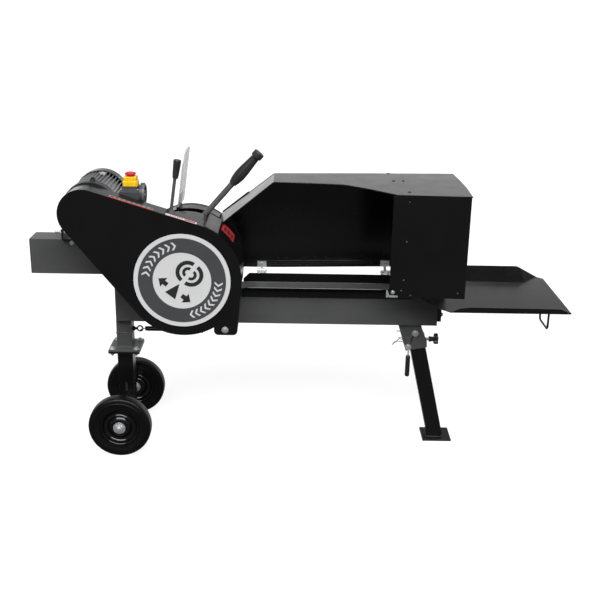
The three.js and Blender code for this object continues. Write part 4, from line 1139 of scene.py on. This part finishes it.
# ---- beam and table: welds, end plate bolts, cradle fixings, end cap ----
def make_beam_details():
    welds = Piece("beam_welds", "frame", "frame_grey")
    for y in (-30, 30):
        for z in (BEAM_HIGH.z + 0.6, HOUSING_LOW.z - 0.8):
            weld(welds, [(-19, y, z), (328, y, z)], 2.0)
    welds.finish(smooth=60)

    black = Piece("table_welds", "frame", "black_coat")
    plate_low = BEAM_HIGH.x + 11.7
    weld(black, [(plate_low + 0.4, -44, 519.4), (plate_low + 0.4, 44, 519.4)], 1.8)
    for y in (-200, -105):
        black.ring([(3.2, 0), (6.4, 0), (5.2, -2.2), (3.4, -3.6)], (1325, y, 519.6), Z, 24)
    black.finish(smooth=60)

    bolts = Piece("end_plate_bolts", "frame", "zinc")
    for y in (-28, 28):
        for z in (446, 492):
            bolt(bolts, (plate_low + 0.05, y, z), X, 7, 4.6, 10)
    for x in (430, 650, 880):
        bolt(bolts, (x, BEAM_HALF + 3.35, 510), Y, 4.8, 3.2, 6.4)
    bolts.finish(bevel=0.3)

    screw_set("end_cap", "frame", [
        ((HOUSING_LOW.x - 3.05, y, z), -X)
        for y in (-32, 32) for z in (HOUSING_LOW.z + 10, HOUSING_HIGH.z - 10)
    ], 3.4)


make_beam_details()


def make_bearing_bolts():
    bolts = Piece("bearing_bolts", "frame", "zinc")
    for side in (-1, 1):
        for c, s in around(4, 45):
            at = (FLY[0] + 38 * c, side * (BEAM_HALF + 5), FLY[1] + 38 * s)
            bolt(bolts, at, Y * side, 4.2, 2.8, 5.4)
    bolts.finish(bevel=0.25)
    guard = Piece("far_guard_bolts", "frame", "zinc")
    high = layout("far_flywheel_guard")[1]
    for c, s in around(6, 30):
        bolt(guard, (FLY[0] + 120 * c, high.y, FLY[1] + 120 * s), Y, 5, 3.4)
    guard.finish(bevel=0.25)
    rim = Piece("far_guard_rim", "frame", "black_coat")
    rim.ring([(163.6, 0), (166.4, 0.6), (166.4, 4.4), (163.6, 5)], (FLY[0], high.y - 5.4, FLY[1]), Y, 128)
    rim.finish(smooth=40)


make_bearing_bolts()

# ---- camera, light, floor ----
CAMERA_PITCH = math.radians(18.85)
CAMERA_YAW = math.radians(-0.59)
CAMERA_ROLL = math.radians(1.07)
CAMERA_AT = Vector((539.9, -2905.8, 1470.5))
LENS_MM = 56.8


def add_camera():
    data = bpy.data.cameras.new("camera")
    data.lens = LENS_MM
    data.sensor_width = 36
    data.clip_end = 1000
    camera = in_scene("camera", data)
    turn = Matrix.Rotation(CAMERA_YAW, 4, "Z")
    tip = Matrix.Rotation(math.pi / 2 - CAMERA_PITCH, 4, "X")
    roll = Matrix.Rotation(CAMERA_ROLL, 4, "Z")
    camera.matrix_world = Matrix.Translation(TO_ROW @ CAMERA_AT) @ turn @ tip @ roll
    bpy.context.scene.camera = camera


def add_sun(name, elevation, azimuth, strength, spread):
    """A distant lamp; the azimuth is counted from the operator's side towards the outfeed table."""
    data = bpy.data.lights.new(name, "SUN")
    data.energy = strength
    data.angle = math.radians(spread)
    light = in_scene(name, data)
    up, round_to = math.radians(elevation), math.radians(azimuth)
    towards = Vector((
        math.cos(up) * math.sin(round_to), -math.cos(up) * math.cos(round_to), math.sin(up),
    ))
    light.rotation_euler = towards.to_track_quat("Z", "Y").to_euler()


def staged(name, mesh, material):
    """A piece of the studio. It shows to the camera but doesn't shine on the machine."""
    mesh.materials.append(material)
    obj = in_scene(name, mesh)
    obj.visible_diffuse = False
    obj.visible_glossy = False
    return obj


FLOOR_HALF = 88
SHINE = 0.82


def add_floor():
    mesh = bpy.data.meshes.new("floor")
    corners = [(x * FLOOR_HALF, y * FLOOR_HALF, 0) for x, y in ((-1, -1), (1, -1), (1, 1), (-1, 1))]
    mesh.from_pydata(corners, [], [(0, 1, 2, 3)])
    s = Surface("floor", (0.3, 0.3, 0.3), 0.9, 0.0, 0.0)
    s.set("Emission Color", (1, 1, 1, 1)).set("Emission Strength", SHINE)
    staged("floor", mesh, s.mottle(0.4, 0.02).material).location.z = -0.0005


def add_backdrop():
    """A plain pale wall all the way round, with a ceiling."""
    bm = bmesh.new()
    bmesh.ops.create_icosphere(bm, subdivisions=4, radius=FLOOR_HALF * 0.98)
    mesh = bpy.data.meshes.new("backdrop")
    bm.to_mesh(mesh)
    bm.free()
    s = Surface("backdrop", (0.0, 0.0, 0.0), 1.0, 0.0, 0.0)
    s.set("Emission Color", (1, 1, 1, 1)).set("Emission Strength", 1.0)
    obj = staged("backdrop", mesh, s.mottle(0.1, 0.0).material)
    obj.visible_shadow = False


# Brightness of the studio by the sine of the height above the horizon.
BEHIND = ((0.0, 1.4), (0.1, 1.05), (0.2, 0.76), (0.33, 0.34), (0.46, 0.15), (1.0, 0.08))
IN_FRONT = ((0.0, 0.3), (0.3, 0.16), (1.0, 0.1))
BELOW_BEHIND, BELOW_IN_FRONT = 0.6, 0.11


def add_world():
    """Softly lit studio: bright low behind the machine, dim in front, dark below."""
    world = bpy.data.worlds.new("studio")
    world.use_nodes = True
    tree = world.node_tree
    new, link = tree.nodes.new, tree.links.new
    direction = new("ShaderNodeSeparateXYZ")
    link(new("ShaderNodeTexCoord").outputs["Generated"], direction.inputs[0])

    def brightness(stops):
        ramp = new("ShaderNodeValToRGB")
        link(direction.outputs["Z"], ramp.inputs["Fac"])
        elements = ramp.color_ramp.elements
        while len(elements) < len(stops):
            elements.new(0.5)
        for element, (position, value) in zip(elements, stops):
            element.position = position
            element.color = (value, value, value, 1)
        return ramp.outputs["Color"]

    def mixed(socket, low, high, a, b):
        share = new("ShaderNodeMapRange")
        link(direction.outputs[socket], share.inputs["Value"])
        share.inputs["From Min"].default_value = low
        share.inputs["From Max"].default_value = high
        mix = new("ShaderNodeMix")
        mix.data_type = "RGBA"
        link(share.outputs["Result"], mix.inputs[0])
        for target, source in ((mix.inputs[6], a), (mix.inputs[7], b)):
            if isinstance(source, float):
                target.default_value = (source, source, source, 1)
            else:
                link(source, target)
        return mix.outputs[2]

    above = mixed("Y", -0.35, 0.35, brightness(IN_FRONT), brightness(BEHIND))
    below = mixed("Y", -0.1, 0.5, BELOW_IN_FRONT, BELOW_BEHIND)
    whole = mixed("Z", -0.02, 0.0, below, above)
    link(whole, tree.nodes["Background"].inputs["Color"])
    bpy.context.scene.world = world


add_camera()
add_world()
add_floor()
add_backdrop()
add_sun("key_left", 48, -20, 2.1, 38)
add_sun("key_right", 46, 25, 2.1, 38)
add_sun("back", 55, 180, 0.5, 28)
bpy.context.scene.view_settings.view_transform = "Standard"
